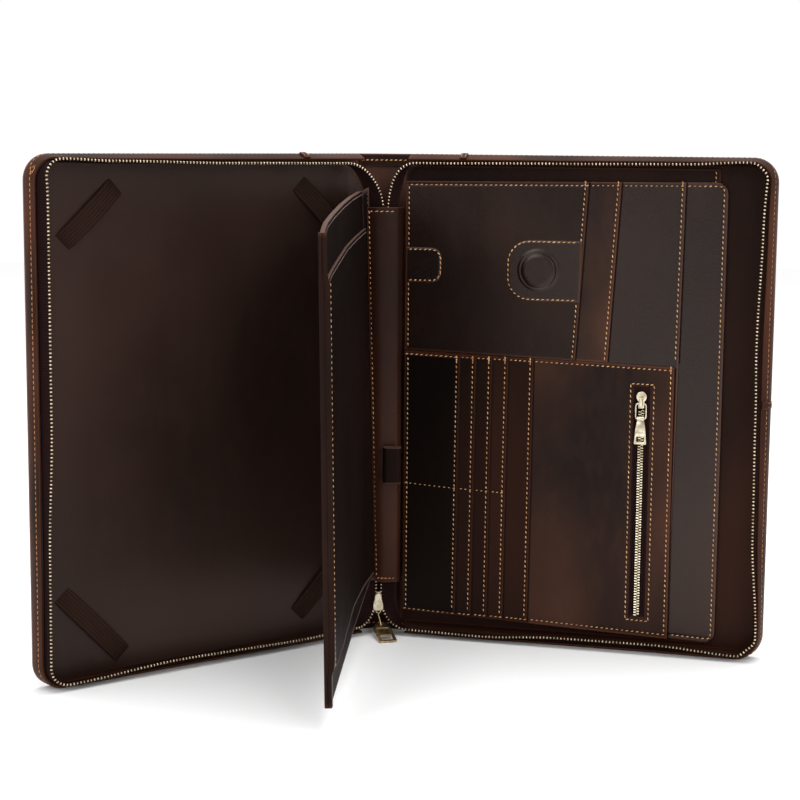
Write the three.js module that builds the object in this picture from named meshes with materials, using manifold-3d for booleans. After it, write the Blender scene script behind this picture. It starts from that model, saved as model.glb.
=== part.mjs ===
// A zip-around leather laptop portfolio, standing open like a book with its inside to the viewer.
// Millimetres, +Z up, the front towards -Y. The spine is at the back and both covers swing forward.
// On a cover, u runs from the spine fold to the outer edge, n from the outer face inwards, z up.
import * as THREE from 'three';
import Module from 'manifold-3d';
import { mergeVertices } from 'three/addons/utils/BufferGeometryUtils.js';

const wasm = await Module();
wasm.setup();

// Covers
const coverHeight = 350;
const coverWidth = 265;
const coverCorner = 17;
const coverLeather = 2;
const leftSwing = THREE.MathUtils.degToRad(36.7);
const rightSwing = THREE.MathUtils.degToRad(15.2);
const clearance = 0.3;

// Spine
const spineHalf = 15;
const spineBulge = 6;
const spineLeather = 1.8;
const leftOverlap = 55;
const rightOverlap = 46;
const hemHeight = 9;
const hemLeather = 1.2;
const hemShort = 1.5;
const hemEdge = 0.5;

// Edge strip round each cover, and what is sewn inside it
const stripDepth = 11.5;
const stripLeather = 1.8;
const stripStart = 6;
const tapeThickness = 0.9;
const tapeDepth = 9.3;
const chainDepth = 21.5;
const chainWidth = 2.4;
const chainThickness = 2.2;
const liningLeather = 1.2;
const liningMargin = 4.5;

// Joined zip along the spine
const chainY = -15.9;
const chainTopX = 4.1;
const chainBottomX = -1.3;
const chainMeetDrop = 38;
const chainMeetHeight = 27.5;
const chainGap = 0.5;
const tapeGap = 0.6;

// Spine strip, the leather band in front of the joined zip
const bandBottom = 38.5;
const bandTopDrop = 35;
const bandLeather = 1.4;
const bandFront = 19.4;
const bandCrown = 0.5;
const bandSide = 15.6;
const bandTaper = 1.2;
const bandFold = 5.4;
const bandEnd = 6.2;

// Pen loop on the spine strip
const loopHeight = 26.5;
const loopBottom = 114.5;
const loopWidth = 13;
const loopDepth = 7.4;
const loopWall = 1.2;
const loopX = 8;
const loopCorner = 3;
const loopInnerCorner = 2;

// Leaf that hangs from the spine strip and points forward
const leafReach = 245;
const leafLeather = 1.8;
const leafThickness = 3.2;
const leafHingeBottom = 41;
const leafHingeTopDrop = 26;
const leafDroop = 25.5;
const leafTopDroop = 15.5;
const leafPocketTopDrop = 26.5;
const leafPocketPuff = 2;
const leafPocketSag = 2.5;
const leafBelly = 2.5;
const leafGap = 1.2;

// Pocket layers on the right cover
const layerLeather = 1;
const organiserLeather = 1.2;
const layerLeft = 2.8;
const organiserWidth = 231.5;
const organiserCorner = 8;
const rearPocketWidth = 226;
const rearMargin = 8;
const sharpCorner = 0.5;
const tallPocketWidth = 198.3;
const tallPocketLean = 4.6;
const penPocketWidth = 151.5;
const upperPocketWidth = 128.7;
const upperLean = 7.2;
const lowerPanelWidth = 198.5;
const panelTopLeft = coverHeight - 19;
const panelTopRight = coverHeight - 17;
const panelBottomLeft = 17.5;
const panelBottomRight = 9;
const lowerTopLeft = 210;
const lowerTopRight = 203.5;
const cardSlotWidths = [97.5, 79.5, 68, 56.5, 45];
const cardStep = 0.4;
const cardLean = 1.5;
const brownCards = 2;

// Stitched pads that hide the magnets of the upper pocket
const smallPadWidth = 28;
const smallPadHeight = 25;
const smallPadMiddle = coverHeight - 78.5;
const largePadStart = 78.5;
const largePadHeight = 43;
const largePadMiddle = coverHeight - 80.5;
const magnetU = 101;
const magnetRadius = 14;
const padLeather = 0.8;
const smallPadCorner = 8;
const largePadCorner = 17;
const magnetRim = 2.5;
const magnetEdge = 0.5;
const magnetCrown = 1.1;
const magnetDish = 0.9;

// Zip of the lower pocket
const windowFromEdge = 22.1;
const windowWidth = 11.5;
const windowBottom = 25;
const windowUnderEdge = 13.5;
const windowTop = lowerTopRight - windowUnderEdge;
const windowCorner = 1.5;
const windowMargin = 1;
const windowMiddle = lowerPanelWidth - windowFromEdge;
const pocketTape = 0.7;
const pocketChainWidth = 4;
const pocketChainThickness = 1.6;
const pocketSliderWidth = 7.6;
const pocketSliderLength = 12;
const pocketSliderThickness = 2.6;
const sliderUnderEdge = 3;
const pocketSliderTop = windowTop - sliderUnderEdge;
const bridgeWidth = 2.2;
const bridgeBar = 1.3;
const bridgeRise = 1.2;
const bridgeDrop = 3.4;
const bridgeRoom = 0.45;
const bridgeChamfer = 0.7;
const linkWire = 1.3;
const linkWidth = 8.6;
const linkLength = 12;
const tabLength = 20;
const tabTopWidth = 7;
const tabBottomWidth = 9.4;
const tabThickness = 1.6;
const barrelRadius = 1.9;
const barrelBore = 1.15;
const linkGap = 0.6;
const linkPlay = 0.5;
const linkCorner = 2;
const tabShoulder = 6.5;
const tabShoulderStep = 0.3;
const tabSlotWidth = 4.6;
const tabSlotHeight = 3.2;
const tabSlotMargin = 2.2;

// Main slider, its link and its pull
const sliderBottom = 18.2;
const sliderLength = 14.4;
const sliderWidth = 8.6;
const sliderNeck = 5.6;
const sliderPlate = 1.3;
const sliderChannel = 4.8;
const postSize = 1.4;
const sliderForward = 1;
const eyeHole = 1.5;
const eyeDrop = 2.8;
const eyeRim = 0.9;
const mainLinkWire = 1.2;
const mainLinkInner = 1.6;
const pullLength = 21.5;
const pullWidth = 11.4;
const pullThickness = 1.5;
const pullEnd = 2.7;
const pullShoulder = 2.3;
const pullBore = 1.25;
const pullRim = 2;
const pullWindow = 6.5;
const pullLift = 0.15;
const pullForward = 6.6;
const pullHoleHeight = 5.2;
const pullTurn = THREE.MathUtils.degToRad(12.5);

// Elastic corner straps on the left lining
const strapWidth = 13;
const strapThickness = 1.2;
const strapArch = 2.2;

// Overlap tabs where the ends of the edge strip meet
const seamTabWidth = 5;
const seamTabThickness = 0.9;
const seamTabGap = 0.5;
const sideSeamHeight = 181;

const colours = {
  leather: { color: 0x54301f, roughness: 0.5, metalness: 0 },
  edge: { color: 0x6b3b26, roughness: 0.5, metalness: 0 },
  lining: { color: 0x35241f, roughness: 0.45, metalness: 0 },
  tape: { color: 0x231c1e, roughness: 0.9, metalness: 0 },
  elastic: { color: 0x2a1f1d, roughness: 0.9, metalness: 0 },
  brass: { color: 0xb79a6a, roughness: 0.35, metalness: 1 },
};

const portfolio = new THREE.Group();
const leftCover = new THREE.Group();
const rightCover = new THREE.Group();
leftCover.position.set(-spineHalf, 0, 0);
leftCover.rotation.z = leftSwing;
rightCover.position.set(spineHalf, 0, 0);
rightCover.rotation.z = -rightSwing;
portfolio.add(leftCover, rightCover);

const left = { side: -1, swing: leftSwing, group: leftCover };
const right = { side: 1, swing: rightSwing, group: rightCover };

// A geometry with its places only, each shared corner once.
function bareOf(geometry) {
  const bare = geometry.clone();
  bare.deleteAttribute('normal');
  bare.deleteAttribute('uv');
  return mergeVertices(bare, 1e-4);
}

// A piece joins its group under its own name.
function add(group, name, geometry, finish) {
  const mesh = new THREE.Mesh(bareOf(geometry), new THREE.MeshStandardMaterial(colours[finish]));
  mesh.name = name;
  group.add(mesh);
  return mesh;
}

// The same place on a cover, in the portfolio's own axes.
function place(cover, u, n, z) {
  const c = Math.cos(cover.swing);
  const s = Math.sin(cover.swing);
  return new THREE.Vector3(cover.side * (spineHalf + u * c - n * s), -(u * s + n * c), z);
}

// Blends between the rows of a table in equal smooth steps.
function blend(rows, at, column) {
  const last = rows.length - 1;
  if (at <= rows[0].at) return rows[0][column];
  if (at >= rows[last].at) return rows[last][column];
  const next = rows.findIndex((row) => row.at > at);
  const a = rows[next - 1];
  const b = rows[next];
  const t = (at - a.at) / (b.at - a.at);
  return THREE.MathUtils.lerp(a[column], b[column], t * t * (3 - 2 * t));
}

// A closed band lofted through sections. Each section has one row of outer points and one of inner points.
function loft(sections, closed = false) {
  const rows = sections[0].outer.length;
  const ring = 2 * rows;
  const position = [];
  const index = [];
  for (const section of sections) {
    const points = [...section.outer, ...[...section.inner].reverse()];
    for (const p of points) position.push(p.x, p.y, p.z);
  }
  const steps = closed ? sections.length : sections.length - 1;
  for (let i = 0; i < steps; i += 1) {
    const a = i * ring;
    const b = ((i + 1) % sections.length) * ring;
    for (let j = 0; j < ring; j += 1) {
      const k = (j + 1) % ring;
      index.push(a + j, b + j, b + k, a + j, b + k, a + k);
    }
  }
  if (!closed) {
    const end = (sections.length - 1) * ring;
    for (let j = 0; j < rows - 1; j += 1) {
      const k = ring - 1 - j;
      index.push(j, j + 1, k - 1, j, k - 1, k);
      index.push(end + j, end + k, end + k - 1, end + j, end + k - 1, end + j + 1);
    }
  }
  const geometry = new THREE.BufferGeometry();
  geometry.setAttribute('position', new THREE.Float32BufferAttribute(position, 3));
  geometry.setIndex(index);
  return outwards(geometry);
}

// Turns a closed mesh inside out when its volume comes out negative.
function outwards(geometry) {
  const p = geometry.getAttribute('position');
  const index = geometry.index.array;
  const a = new THREE.Vector3();
  const b = new THREE.Vector3();
  const c = new THREE.Vector3();
  let volume = 0;
  for (let i = 0; i < index.length; i += 3) {
    a.fromBufferAttribute(p, index[i]);
    b.fromBufferAttribute(p, index[i + 1]);
    c.fromBufferAttribute(p, index[i + 2]);
    volume += a.dot(b.cross(c));
  }
  if (volume < 0) {
    for (let i = 0; i < index.length; i += 3) {
      const first = index[i];
      index[i] = index[i + 1];
      index[i + 1] = first;
    }
  }
  return geometry;
}

function solid(geometry) {
  const merged = bareOf(geometry);
  return new wasm.Manifold(new wasm.Mesh({
    numProp: 3,
    vertProperties: new Float32Array(merged.getAttribute('position').array),
    triVerts: new Uint32Array(merged.index.array),
  }));
}

function geometryOf(body) {
  const mesh = body.getMesh();
  const geometry = new THREE.BufferGeometry();
  geometry.setAttribute('position', new THREE.BufferAttribute(new Float32Array(mesh.vertProperties), 3));
  geometry.setIndex(new THREE.BufferAttribute(new Uint32Array(mesh.triVerts), 1));
  return geometry;
}

// An outline in (u, z) with rounded corners. Each corner is {u, z, r}, in order.
function outline(corners, side = 1) {
  const shape = new THREE.Shape();
  const count = corners.length;
  const points = corners.map((corner) => new THREE.Vector2(side * corner.u, corner.z));
  points.forEach((point, i) => {
    const r = corners[i].r ?? 0;
    const before = points[(i + count - 1) % count].clone().sub(point).normalize();
    const after = points[(i + 1) % count].clone().sub(point).normalize();
    const enter = point.clone().addScaledVector(before, r);
    const leave = point.clone().addScaledVector(after, r);
    if (i === 0) shape.moveTo(enter.x, enter.y);
    else shape.lineTo(enter.x, enter.y);
    if (r > 0) shape.quadraticCurveTo(point.x, point.y, leave.x, leave.y);
  });
  shape.closePath();
  return shape;
}

// A flat sheet on a cover: its outline, the depth of its back and its thickness.
function sheet(shape, depth, thickness, curveSegments = 5) {
  const geometry = new THREE.ExtrudeGeometry(shape, { depth: thickness, bevelEnabled: false, curveSegments });
  geometry.rotateX(Math.PI / 2);
  geometry.translate(0, -depth, 0);
  return geometry;
}

// Outer cover panels
const coverBack = coverLeather + clearance;

function coverPanel(cover) {
  const shape = new THREE.Shape();
  const s = cover.side;
  const inner = clearance;
  const centre = coverWidth - coverCorner;
  shape.moveTo(s * inner, 0);
  shape.lineTo(s * centre, 0);
  shape.absarc(s * centre, coverCorner, coverCorner, -Math.PI / 2, s > 0 ? 0 : -Math.PI, s < 0);
  shape.lineTo(s * coverWidth, coverHeight - coverCorner);
  shape.absarc(s * centre, coverHeight - coverCorner, coverCorner, s > 0 ? 0 : Math.PI, Math.PI / 2, s < 0);
  shape.lineTo(s * inner, coverHeight);
  shape.closePath();
  return sheet(shape, 0, coverLeather, 8);
}

add(leftCover, 'left_cover', coverPanel(left), 'leather');
add(rightCover, 'right_cover', coverPanel(right), 'leather');

// Spine back, one leather panel round the fold and over both covers
function spineCurve(offset) {
  const a = place(left, 0, offset, 0);
  const b = place(right, 0, offset, 0);
  const reach = spineHalf * 0.75;
  const c = a.clone().add(new THREE.Vector3(Math.cos(leftSwing), Math.sin(leftSwing), 0).multiplyScalar(reach));
  const alongRight = new THREE.Vector3(-Math.cos(rightSwing), Math.sin(rightSwing), 0);
  const d = b.clone().addScaledVector(alongRight, reach);
  c.y = Math.min(c.y, spineBulge - offset);
  d.y = Math.min(d.y, spineBulge - offset);
  return new THREE.CubicBezierCurve3(a, c, d, b);
}

function standing(points, bottom, top) {
  return points.map((p) => [new THREE.Vector3(p.x, p.y, bottom), new THREE.Vector3(p.x, p.y, top)]);
}

function spinePanel(outer, thickness, leftEnd, rightEnd, bottom, top) {
  const inner = outer + thickness;
  const path = (offset) => [
    place(left, leftEnd, offset, 0),
    ...spineCurve(offset).getPoints(10),
    place(right, rightEnd, offset, 0),
  ];
  const outside = standing(path(outer), bottom, top);
  const inside = standing(path(inner), bottom, top);
  return loft(outside.map((pair, i) => ({ outer: pair, inner: inside[i] })));
}

const spineOuter = -(spineLeather + clearance);
const spineBack = spinePanel(spineOuter, spineLeather, leftOverlap, rightOverlap, 0, coverHeight);
add(portfolio, 'spine_back', spineBack, 'leather');
const hemDepth = coverLeather + clearance;
const hemEnd = stripStart - hemShort;
add(portfolio, 'spine_top_hem',
  spinePanel(hemDepth, hemLeather, hemEnd, hemEnd, coverHeight - hemHeight, coverHeight - hemEdge), 'edge');
add(portfolio, 'spine_bottom_hem',
  spinePanel(hemDepth, hemLeather, hemEnd, hemEnd, hemEdge, hemHeight), 'edge');

// Edge strips. at: 0 to 1 along the bottom wall, 1 to 2 up the outer wall, 2 to 3 back along the top wall.
// lean: how far the strip's front edge leans in, in shares of the strip's depth.
// chain: how far in the zip's teeth stand, in shares of their depth.
const leftEdge = [
  { at: 0.0, lean: 0, chain: 0.353 },
  { at: 0.2, lean: 0, chain: 0.298 },
  { at: 0.6, lean: 0, chain: 0.386 },
  { at: 0.93, lean: 0, chain: 0.223 },
  { at: 1.07, lean: 0.139, chain: 0.172 },
  { at: 1.27, lean: 0.191, chain: 0.195 },
  { at: 1.5, lean: 0.226, chain: 0.326 },
  { at: 1.9, lean: 0.209, chain: 0.335 },
  { at: 2.07, lean: 0.174, chain: 0.14 },
  { at: 2.23, lean: 0.261, chain: 0.214 },
  { at: 2.6, lean: 0.296, chain: 0.293 },
  { at: 3.0, lean: 0.296, chain: 0.312 },
];
const rightEdge = [
  { at: 0.0, lean: 0, chain: 0.26 },
  { at: 0.2, lean: 0, chain: 0.223 },
  { at: 0.45, lean: 0, chain: 0.381 },
  { at: 0.7, lean: 0, chain: 0.4 },
  { at: 0.93, lean: 0, chain: 0.242 },
  { at: 1.0, lean: 0.174, chain: 0.326 },
  { at: 1.08, lean: 0.226, chain: 0.177 },
  { at: 1.27, lean: 0.435, chain: 0.381 },
  { at: 1.5, lean: 0.504, chain: 0.419 },
  { at: 1.63, lean: 0.522, chain: 0.465 },
  { at: 1.85, lean: 0.435, chain: 0.372 },
  { at: 2.0, lean: 0.296, chain: 0.242 },
  { at: 2.08, lean: 0.209, chain: 0.149 },
  { at: 2.25, lean: 0.261, chain: 0.228 },
  { at: 2.6, lean: 0.296, chain: 0.26 },
  { at: 3.0, lean: 0.296, chain: 0.293 },
];
left.table = leftEdge;
right.table = rightEdge;

// Where each zip leaves the cover's wall, and how far it runs straight on before it turns in
left.bottomTurn = 17;
left.topTurn = 27;
left.bottomReach = 8;
left.topReach = 16;
right.bottomTurn = 11;
right.topTurn = 14;
right.bottomReach = 12;
right.topReach = 15;

const cornerShare = 0.07;

// Stations along a cover's edge: where they are, which way is out, and their share of the way round.
function edgeStations(bottomStart, topStart, straightSteps, cornerSteps) {
  const stations = [];
  const centre = coverWidth - coverCorner;
  const run = 1 - cornerShare;
  for (let i = 0; i < straightSteps; i += 1) {
    const t = i / straightSteps;
    stations.push({ u: THREE.MathUtils.lerp(bottomStart, centre, t), z: 0, ou: 0, oz: -1, at: t * run });
  }
  for (let i = 0; i <= cornerSteps; i += 1) {
    const t = i / cornerSteps;
    const angle = -Math.PI / 2 + t * Math.PI / 2;
    const ou = Math.cos(angle);
    const oz = Math.sin(angle);
    const at = run + 2 * cornerShare * t;
    stations.push({ u: centre + coverCorner * ou, z: coverCorner * (1 + oz), ou, oz, at });
  }
  const sideRun = 1 - 2 * cornerShare;
  for (let i = 1; i < straightSteps; i += 1) {
    const t = i / straightSteps;
    const z = THREE.MathUtils.lerp(coverCorner, coverHeight - coverCorner, t);
    stations.push({ u: coverWidth, z, ou: 1, oz: 0, at: 1 + cornerShare + sideRun * t });
  }
  for (let i = 0; i <= cornerSteps; i += 1) {
    const t = i / cornerSteps;
    const angle = t * Math.PI / 2;
    const ou = Math.cos(angle);
    const oz = Math.sin(angle);
    const z = coverHeight - coverCorner * (1 - oz);
    stations.push({ u: centre + coverCorner * ou, z, ou, oz, at: 1 + run + 2 * cornerShare * t });
  }
  for (let i = 1; i <= straightSteps; i += 1) {
    const t = i / straightSteps;
    const u = THREE.MathUtils.lerp(centre, topStart, t);
    stations.push({ u, z: coverHeight, ou: 0, oz: 1, at: 2 + cornerShare + run * t });
  }
  return stations;
}

// How far the strip's outer face stands in from the cover's outline at a depth.
function stripInset(lean, depth) {
  const t = THREE.MathUtils.clamp((depth - coverBack) / (stripDepth - coverBack), 0, 1);
  return lean * t * t;
}

function onEdge(station, cover, inset, depth) {
  return new THREE.Vector3(
    cover.side * (station.u - station.ou * inset), -depth, station.z - station.oz * inset);
}

function edgeStrip(cover) {
  const depths = [0, 0.25, 0.6, 1].map((t) => THREE.MathUtils.lerp(coverBack, stripDepth, t));
  const sections = edgeStations(stripStart, stripStart, 8, 5).map((station) => {
    const lean = blend(cover.table, station.at, 'lean') * stripDepth;
    const outer = depths.map((depth) => onEdge(station, cover, stripInset(lean, depth), depth));
    const inner = depths.map((depth) => onEdge(station, cover, stripInset(lean, depth) + stripLeather, depth));
    return { outer, inner };
  });
  return loft(sections);
}

add(leftCover, 'left_edge_strip', edgeStrip(left), 'edge');
add(rightCover, 'right_edge_strip', edgeStrip(right), 'edge');

// Zip halves: a closed loop round the cover's edge, down through the spine's fork and along the spine.
// A station holds the teeth's place, the way to the tape's free edge, and the tape's width there.
const tapeWidth = chainDepth - tapeDepth;

function chainX(z) {
  return THREE.MathUtils.mapLinear(z, chainMeetHeight, coverHeight - chainMeetDrop, chainBottomX, chainTopX);
}

function wallStation(cover, station) {
  const lean = blend(cover.table, station.at, 'lean') * stripDepth;
  const inset = blend(cover.table, station.at, 'chain') * chainDepth;
  const beside = stripLeather + clearance + tapeThickness * 0.75;
  const atFront = lean + beside;
  const past = (stripDepth - tapeDepth) / (chainDepth - stripDepth);
  const tapeInset = Math.max(stripInset(lean, tapeDepth) + beside, atFront - (inset - atFront) * past);
  const at = (i, depth) => place(cover, station.u - station.ou * i, depth, station.z - station.oz * i);
  const teeth = at(inset, chainDepth);
  const edge = at(tapeInset, tapeDepth);
  const out = at(inset - 1, chainDepth).sub(teeth);
  return { teeth, edge, out };
}

// The fork: from the wall's last station the teeth curve in to the middle of the spine.
function fork(from, wayAlong, reach, to, wayUp, rise) {
  const start = from.teeth;
  const curve = new THREE.CubicBezierCurve3(
    start,
    start.clone().addScaledVector(wayAlong, reach),
    to.teeth.clone().addScaledVector(wayUp, rise),
    to.teeth,
  );
  const firstWay = from.edge.clone().sub(from.teeth);
  const lastWay = to.edge.clone().sub(to.teeth);
  const back = new THREE.Vector3(0, 1, 0);
  const stations = [];
  for (let i = 1; i <= forkSteps; i += 1) {
    const t = i / forkSteps;
    const soft = t * t * (3 - 2 * t);
    const teeth = curve.getPoint(t);
    const length = THREE.MathUtils.lerp(firstWay.length(), lastWay.length(), soft);
    const way = firstWay.clone().normalize().lerp(lastWay.clone().normalize(), soft).setLength(length);
    const out = from.out.clone().lerp(back, soft);
    stations.push({ teeth, edge: teeth.clone().add(way), out });
  }
  return stations;
}

const forkSteps = 9;
const topRise = 13;
const bottomRise = 12;
// How far behind the teeth the tapes' free edges lie, and where the right one ends inside the spine strip
const tapeSink = 2.6;
const tapeRightEnd = bandSide - bandTaper - bandLeather - 1.2;

function spineStation(cover, z) {
  const x = chainX(z) + cover.side * (chainWidth / 2 + chainGap / 2);
  const teeth = new THREE.Vector3(x, chainY, z);
  const edgeX = cover.side < 0 ? x - tapeWidth : Math.min(x + tapeWidth, tapeRightEnd);
  const edge = new THREE.Vector3(edgeX, chainY + tapeSink, z);
  return { teeth, edge, out: new THREE.Vector3(0, 1, 0) };
}

function zipLoop(cover) {
  const walls = edgeStations(cover.bottomTurn, cover.topTurn, 11, 6).map((s) => wallStation(cover, s));
  const inward = place(cover, -1, 0, 0).sub(place(cover, 0, 0, 0));
  const up = new THREE.Vector3(0, 0, 1);
  const down = new THREE.Vector3(0, 0, -1);
  const meetTop = spineStation(cover, coverHeight - chainMeetDrop);
  const meetBottom = spineStation(cover, chainMeetHeight);
  const topFork = fork(walls[walls.length - 1], inward, cover.topReach, meetTop, up, topRise);
  const bottomFork = fork(walls[0], inward, cover.bottomReach, meetBottom, down, bottomRise);
  const spine = [];
  const spineSteps = 5;
  for (let i = 1; i < spineSteps; i += 1) {
    const z = THREE.MathUtils.lerp(coverHeight - chainMeetDrop, chainMeetHeight, i / spineSteps);
    spine.push(spineStation(cover, z));
  }
  return [...walls, ...topFork, ...spine, ...bottomFork.reverse()];
}

function axesOf(station) {
  const way = station.edge.clone().sub(station.teeth);
  const width = way.length();
  way.normalize();
  const out = station.out.clone().addScaledVector(way, -station.out.dot(way)).normalize();
  return { way, out, width };
}

function zipTape(loop) {
  return loft(loop.map((station) => {
    const { way, out, width } = axesOf(station);
    const half = tapeThickness / 2;
    const near = chainWidth / 2 + tapeGap;
    const at = (along, side) => station.teeth.clone().addScaledVector(way, along).addScaledVector(out, side);
    return { outer: [at(near, half), at(width, half)], inner: [at(near, -half), at(width, -half)] };
  }), true);
}

function zipChain(loop) {
  return loft(loop.map((station) => {
    const { way, out } = axesOf(station);
    const half = chainThickness / 2;
    const reach = chainWidth / 2;
    const at = (along, side) => station.teeth.clone().addScaledVector(way, along).addScaledVector(out, side);
    return {
      outer: [at(-reach, half * 0.5), at(-reach * 0.5, half), at(reach, half)],
      inner: [at(-reach, -half * 0.5), at(-reach * 0.5, -half), at(reach, -half)],
    };
  }), true);
}

const leftLoop = zipLoop(left);
const rightLoop = zipLoop(right);
add(portfolio, 'left_zip_tape', zipTape(leftLoop), 'tape');
add(portfolio, 'right_zip_tape', zipTape(rightLoop), 'tape');
add(portfolio, 'left_zip_teeth', zipChain(leftLoop), 'brass');
add(portfolio, 'right_zip_teeth', zipChain(rightLoop), 'brass');

// Linings. Past its bend the left one runs on to the zip tape at the spine.
const liningBack = coverBack;
const liningBottom = liningMargin;
const liningTop = coverHeight - liningMargin;
const liningOuter = coverWidth - liningMargin;
const liningCorner = coverCorner - liningMargin;
const liningBend = 16;
const liningEndInset = 26;
const liningLap = 3;
const liningRun = 8;

function leftLining() {
  const stations = [];
  const cornerSteps = 5;
  for (let i = 0; i <= cornerSteps; i += 1) {
    const angle = (i / cornerSteps) * Math.PI / 2;
    const u = liningOuter - liningCorner * (1 - Math.cos(angle));
    stations.push({ u, cut: liningCorner * (1 - Math.sin(angle)) });
  }
  const flat = [...stations, { u: liningBend + liningRun, cut: 0 }, { u: liningBend, cut: 0 }];
  const sections = flat.map(({ u, cut }) => {
    const at = (n, z) => place(left, u, n, z);
    const low = liningBottom + cut;
    const high = liningTop - cut;
    return {
      outer: [at(liningBack, low), at(liningBack, high)],
      inner: [at(liningBack + liningLeather, low), at(liningBack + liningLeather, high)],
    };
  });
  const end = spineStation(left, coverHeight / 2).edge;
  const backY = chainY + tapeSink + tapeThickness / 2 + clearance;
  const low = liningBottom + liningEndInset;
  const high = liningTop - liningEndInset;
  const x = end.x + liningLap;
  sections.push({
    outer: [low, high].map((z) => new THREE.Vector3(x, backY + liningLeather, z)),
    inner: [new THREE.Vector3(x, backY, low), new THREE.Vector3(x, backY, high)],
  });
  return loft(sections);
}

add(portfolio, 'left_lining', leftLining(), 'lining');

const rightLiningStart = hemEnd + clearance;
const rightLiningShape = outline([
  { u: rightLiningStart, z: liningBottom },
  { u: liningOuter, z: liningBottom, r: liningCorner },
  { u: liningOuter, z: liningTop, r: liningCorner },
  { u: rightLiningStart, z: liningTop },
]);
add(rightCover, 'right_lining', sheet(rightLiningShape, liningBack, liningLeather), 'lining');
const liningFront = liningBack + liningLeather;

// Elastic straps across the corners of the left lining, from one end to the other, in shares of the cover's
// width and height
const straps = [
  { name: 'strap_top_outer', from: [0.906, 0.837], to: [0.758, 0.941] },
  { name: 'strap_top_inner', from: [0.219, 0.941], to: [0.083, 0.84] },
  { name: 'strap_bottom_outer', from: [0.925, 0.174], to: [0.755, 0.039] },
  { name: 'strap_bottom_inner', from: [0.223, 0.059], to: [0.083, 0.166] },
];

function strap({ from, to }) {
  const a = new THREE.Vector2(-from[0] * coverWidth, from[1] * coverHeight);
  const b = new THREE.Vector2(-to[0] * coverWidth, to[1] * coverHeight);
  const along = b.clone().sub(a);
  const across = new THREE.Vector2(-along.y, along.x).setLength(strapWidth / 2);
  const sections = [];
  const steps = 6;
  for (let i = 0; i <= steps; i += 1) {
    const t = i / steps;
    const middle = a.clone().addScaledVector(along, t);
    const depth = liningFront + clearance + strapArch * Math.sin(Math.PI * t);
    const at = (side, n) => new THREE.Vector3(middle.x + side * across.x, -n, middle.y + side * across.y);
    sections.push({
      outer: [at(-1, depth), at(1, depth)],
      inner: [at(-1, depth + strapThickness), at(1, depth + strapThickness)],
    });
  }
  return loft(sections);
}

for (const row of straps) add(leftCover, row.name, strap(row), 'elastic');

// Spine strip: a leather band in front of the joined zip, folded back along its right side.
// Its two ends have their own widths, and x is measured from the portfolio's middle.
const bandTop = coverHeight - bandTopDrop;
const bandRows = [
  { at: 0, leftX: -3.6, rightX: 12.2 },
  { at: 1, leftX: -11.2, rightX: 10.6 },
];

function spineBand() {
  const sections = [];
  const steps = 6;
  for (let i = 0; i <= steps; i += 1) {
    const t = i / steps;
    const z = THREE.MathUtils.lerp(bandBottom, bandTop, t);
    const leftX = THREE.MathUtils.lerp(bandRows[0].leftX, bandRows[1].leftX, t);
    const rightX = THREE.MathUtils.lerp(bandRows[0].rightX, bandRows[1].rightX, t);
    const width = rightX - leftX;
    const front = -bandFront;
    const back = front + bandLeather;
    const v = (x, y) => new THREE.Vector3(x, y, z);
    sections.push({
      outer: [
        v(leftX, front + bandCrown), v(leftX + width * 0.3, front - bandCrown),
        v(leftX + width * 0.65, front - bandCrown * 0.8), v(rightX, front + bandCrown * 0.8),
        v(bandSide - bandTaper, front + bandFold), v(bandSide, -bandEnd),
      ],
      inner: [
        v(leftX, back + bandCrown), v(leftX + width * 0.3, back - bandCrown),
        v(leftX + width * 0.65, back - bandCrown * 0.8), v(rightX - bandLeather * 0.6, back + bandCrown * 0.8),
        v(bandSide - bandTaper - bandLeather, front + bandFold + bandLeather / 2),
        v(bandSide - bandLeather, -bandEnd),
      ],
    });
  }
  return loft(sections);
}

add(portfolio, 'spine_strip', spineBand(), 'leather');

// Pen loop, a flattened leather loop sewn to the spine strip
function penLoop() {
  const backY = -(bandFront + bandCrown + clearance);
  const frontY = backY - loopDepth;
  const box = (inset, r) => outline([
    { u: loopX - loopWidth / 2 + inset, z: frontY + inset, r },
    { u: loopX + loopWidth / 2 - inset, z: frontY + inset, r },
    { u: loopX + loopWidth / 2 - inset, z: backY - inset, r: r * 0.4 },
    { u: loopX - loopWidth / 2 + inset, z: backY - inset, r: r * 0.4 },
  ]);
  const shape = box(0, loopCorner);
  shape.holes.push(box(loopWall, loopInnerCorner));
  const options = { depth: loopHeight, bevelEnabled: false, curveSegments: 5 };
  const geometry = new THREE.ExtrudeGeometry(shape, options);
  geometry.translate(0, 0, loopBottom);
  return geometry;
}

add(portfolio, 'pen_loop', penLoop(), 'leather');

// Leaf: a stiff back sheet with a pocket sheet on its right face, both hinged at the spine strip.
const leafHingeY = chainY - chainThickness / 2;
const leafOuterTopX = -33.9;
const leafOuterBottomX = -29.6;
// at: part of the leaf's reach. top, pocketTop: how much of the top's droop is there, for leaf and pocket.
// pocketRise: how far the pocket's lower edge stands above the leaf's, in shares of the droop.
const leafRows = [
  { at: 0, top: 0, pocketTop: 0, pocketRise: 0.137 },
  { at: 0.3, top: 0.13, pocketTop: 0.11, pocketRise: 0.569 },
  { at: 0.55, top: 0.33, pocketTop: 0.28, pocketRise: 0.824 },
  { at: 0.78, top: 0.6, pocketTop: 0.62, pocketRise: 0.686 },
  { at: 0.93, top: 0.84, pocketTop: 0.86, pocketRise: 0.725 },
  { at: 1, top: 1.18, pocketTop: 1.06, pocketRise: 0.882 },
];

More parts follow.
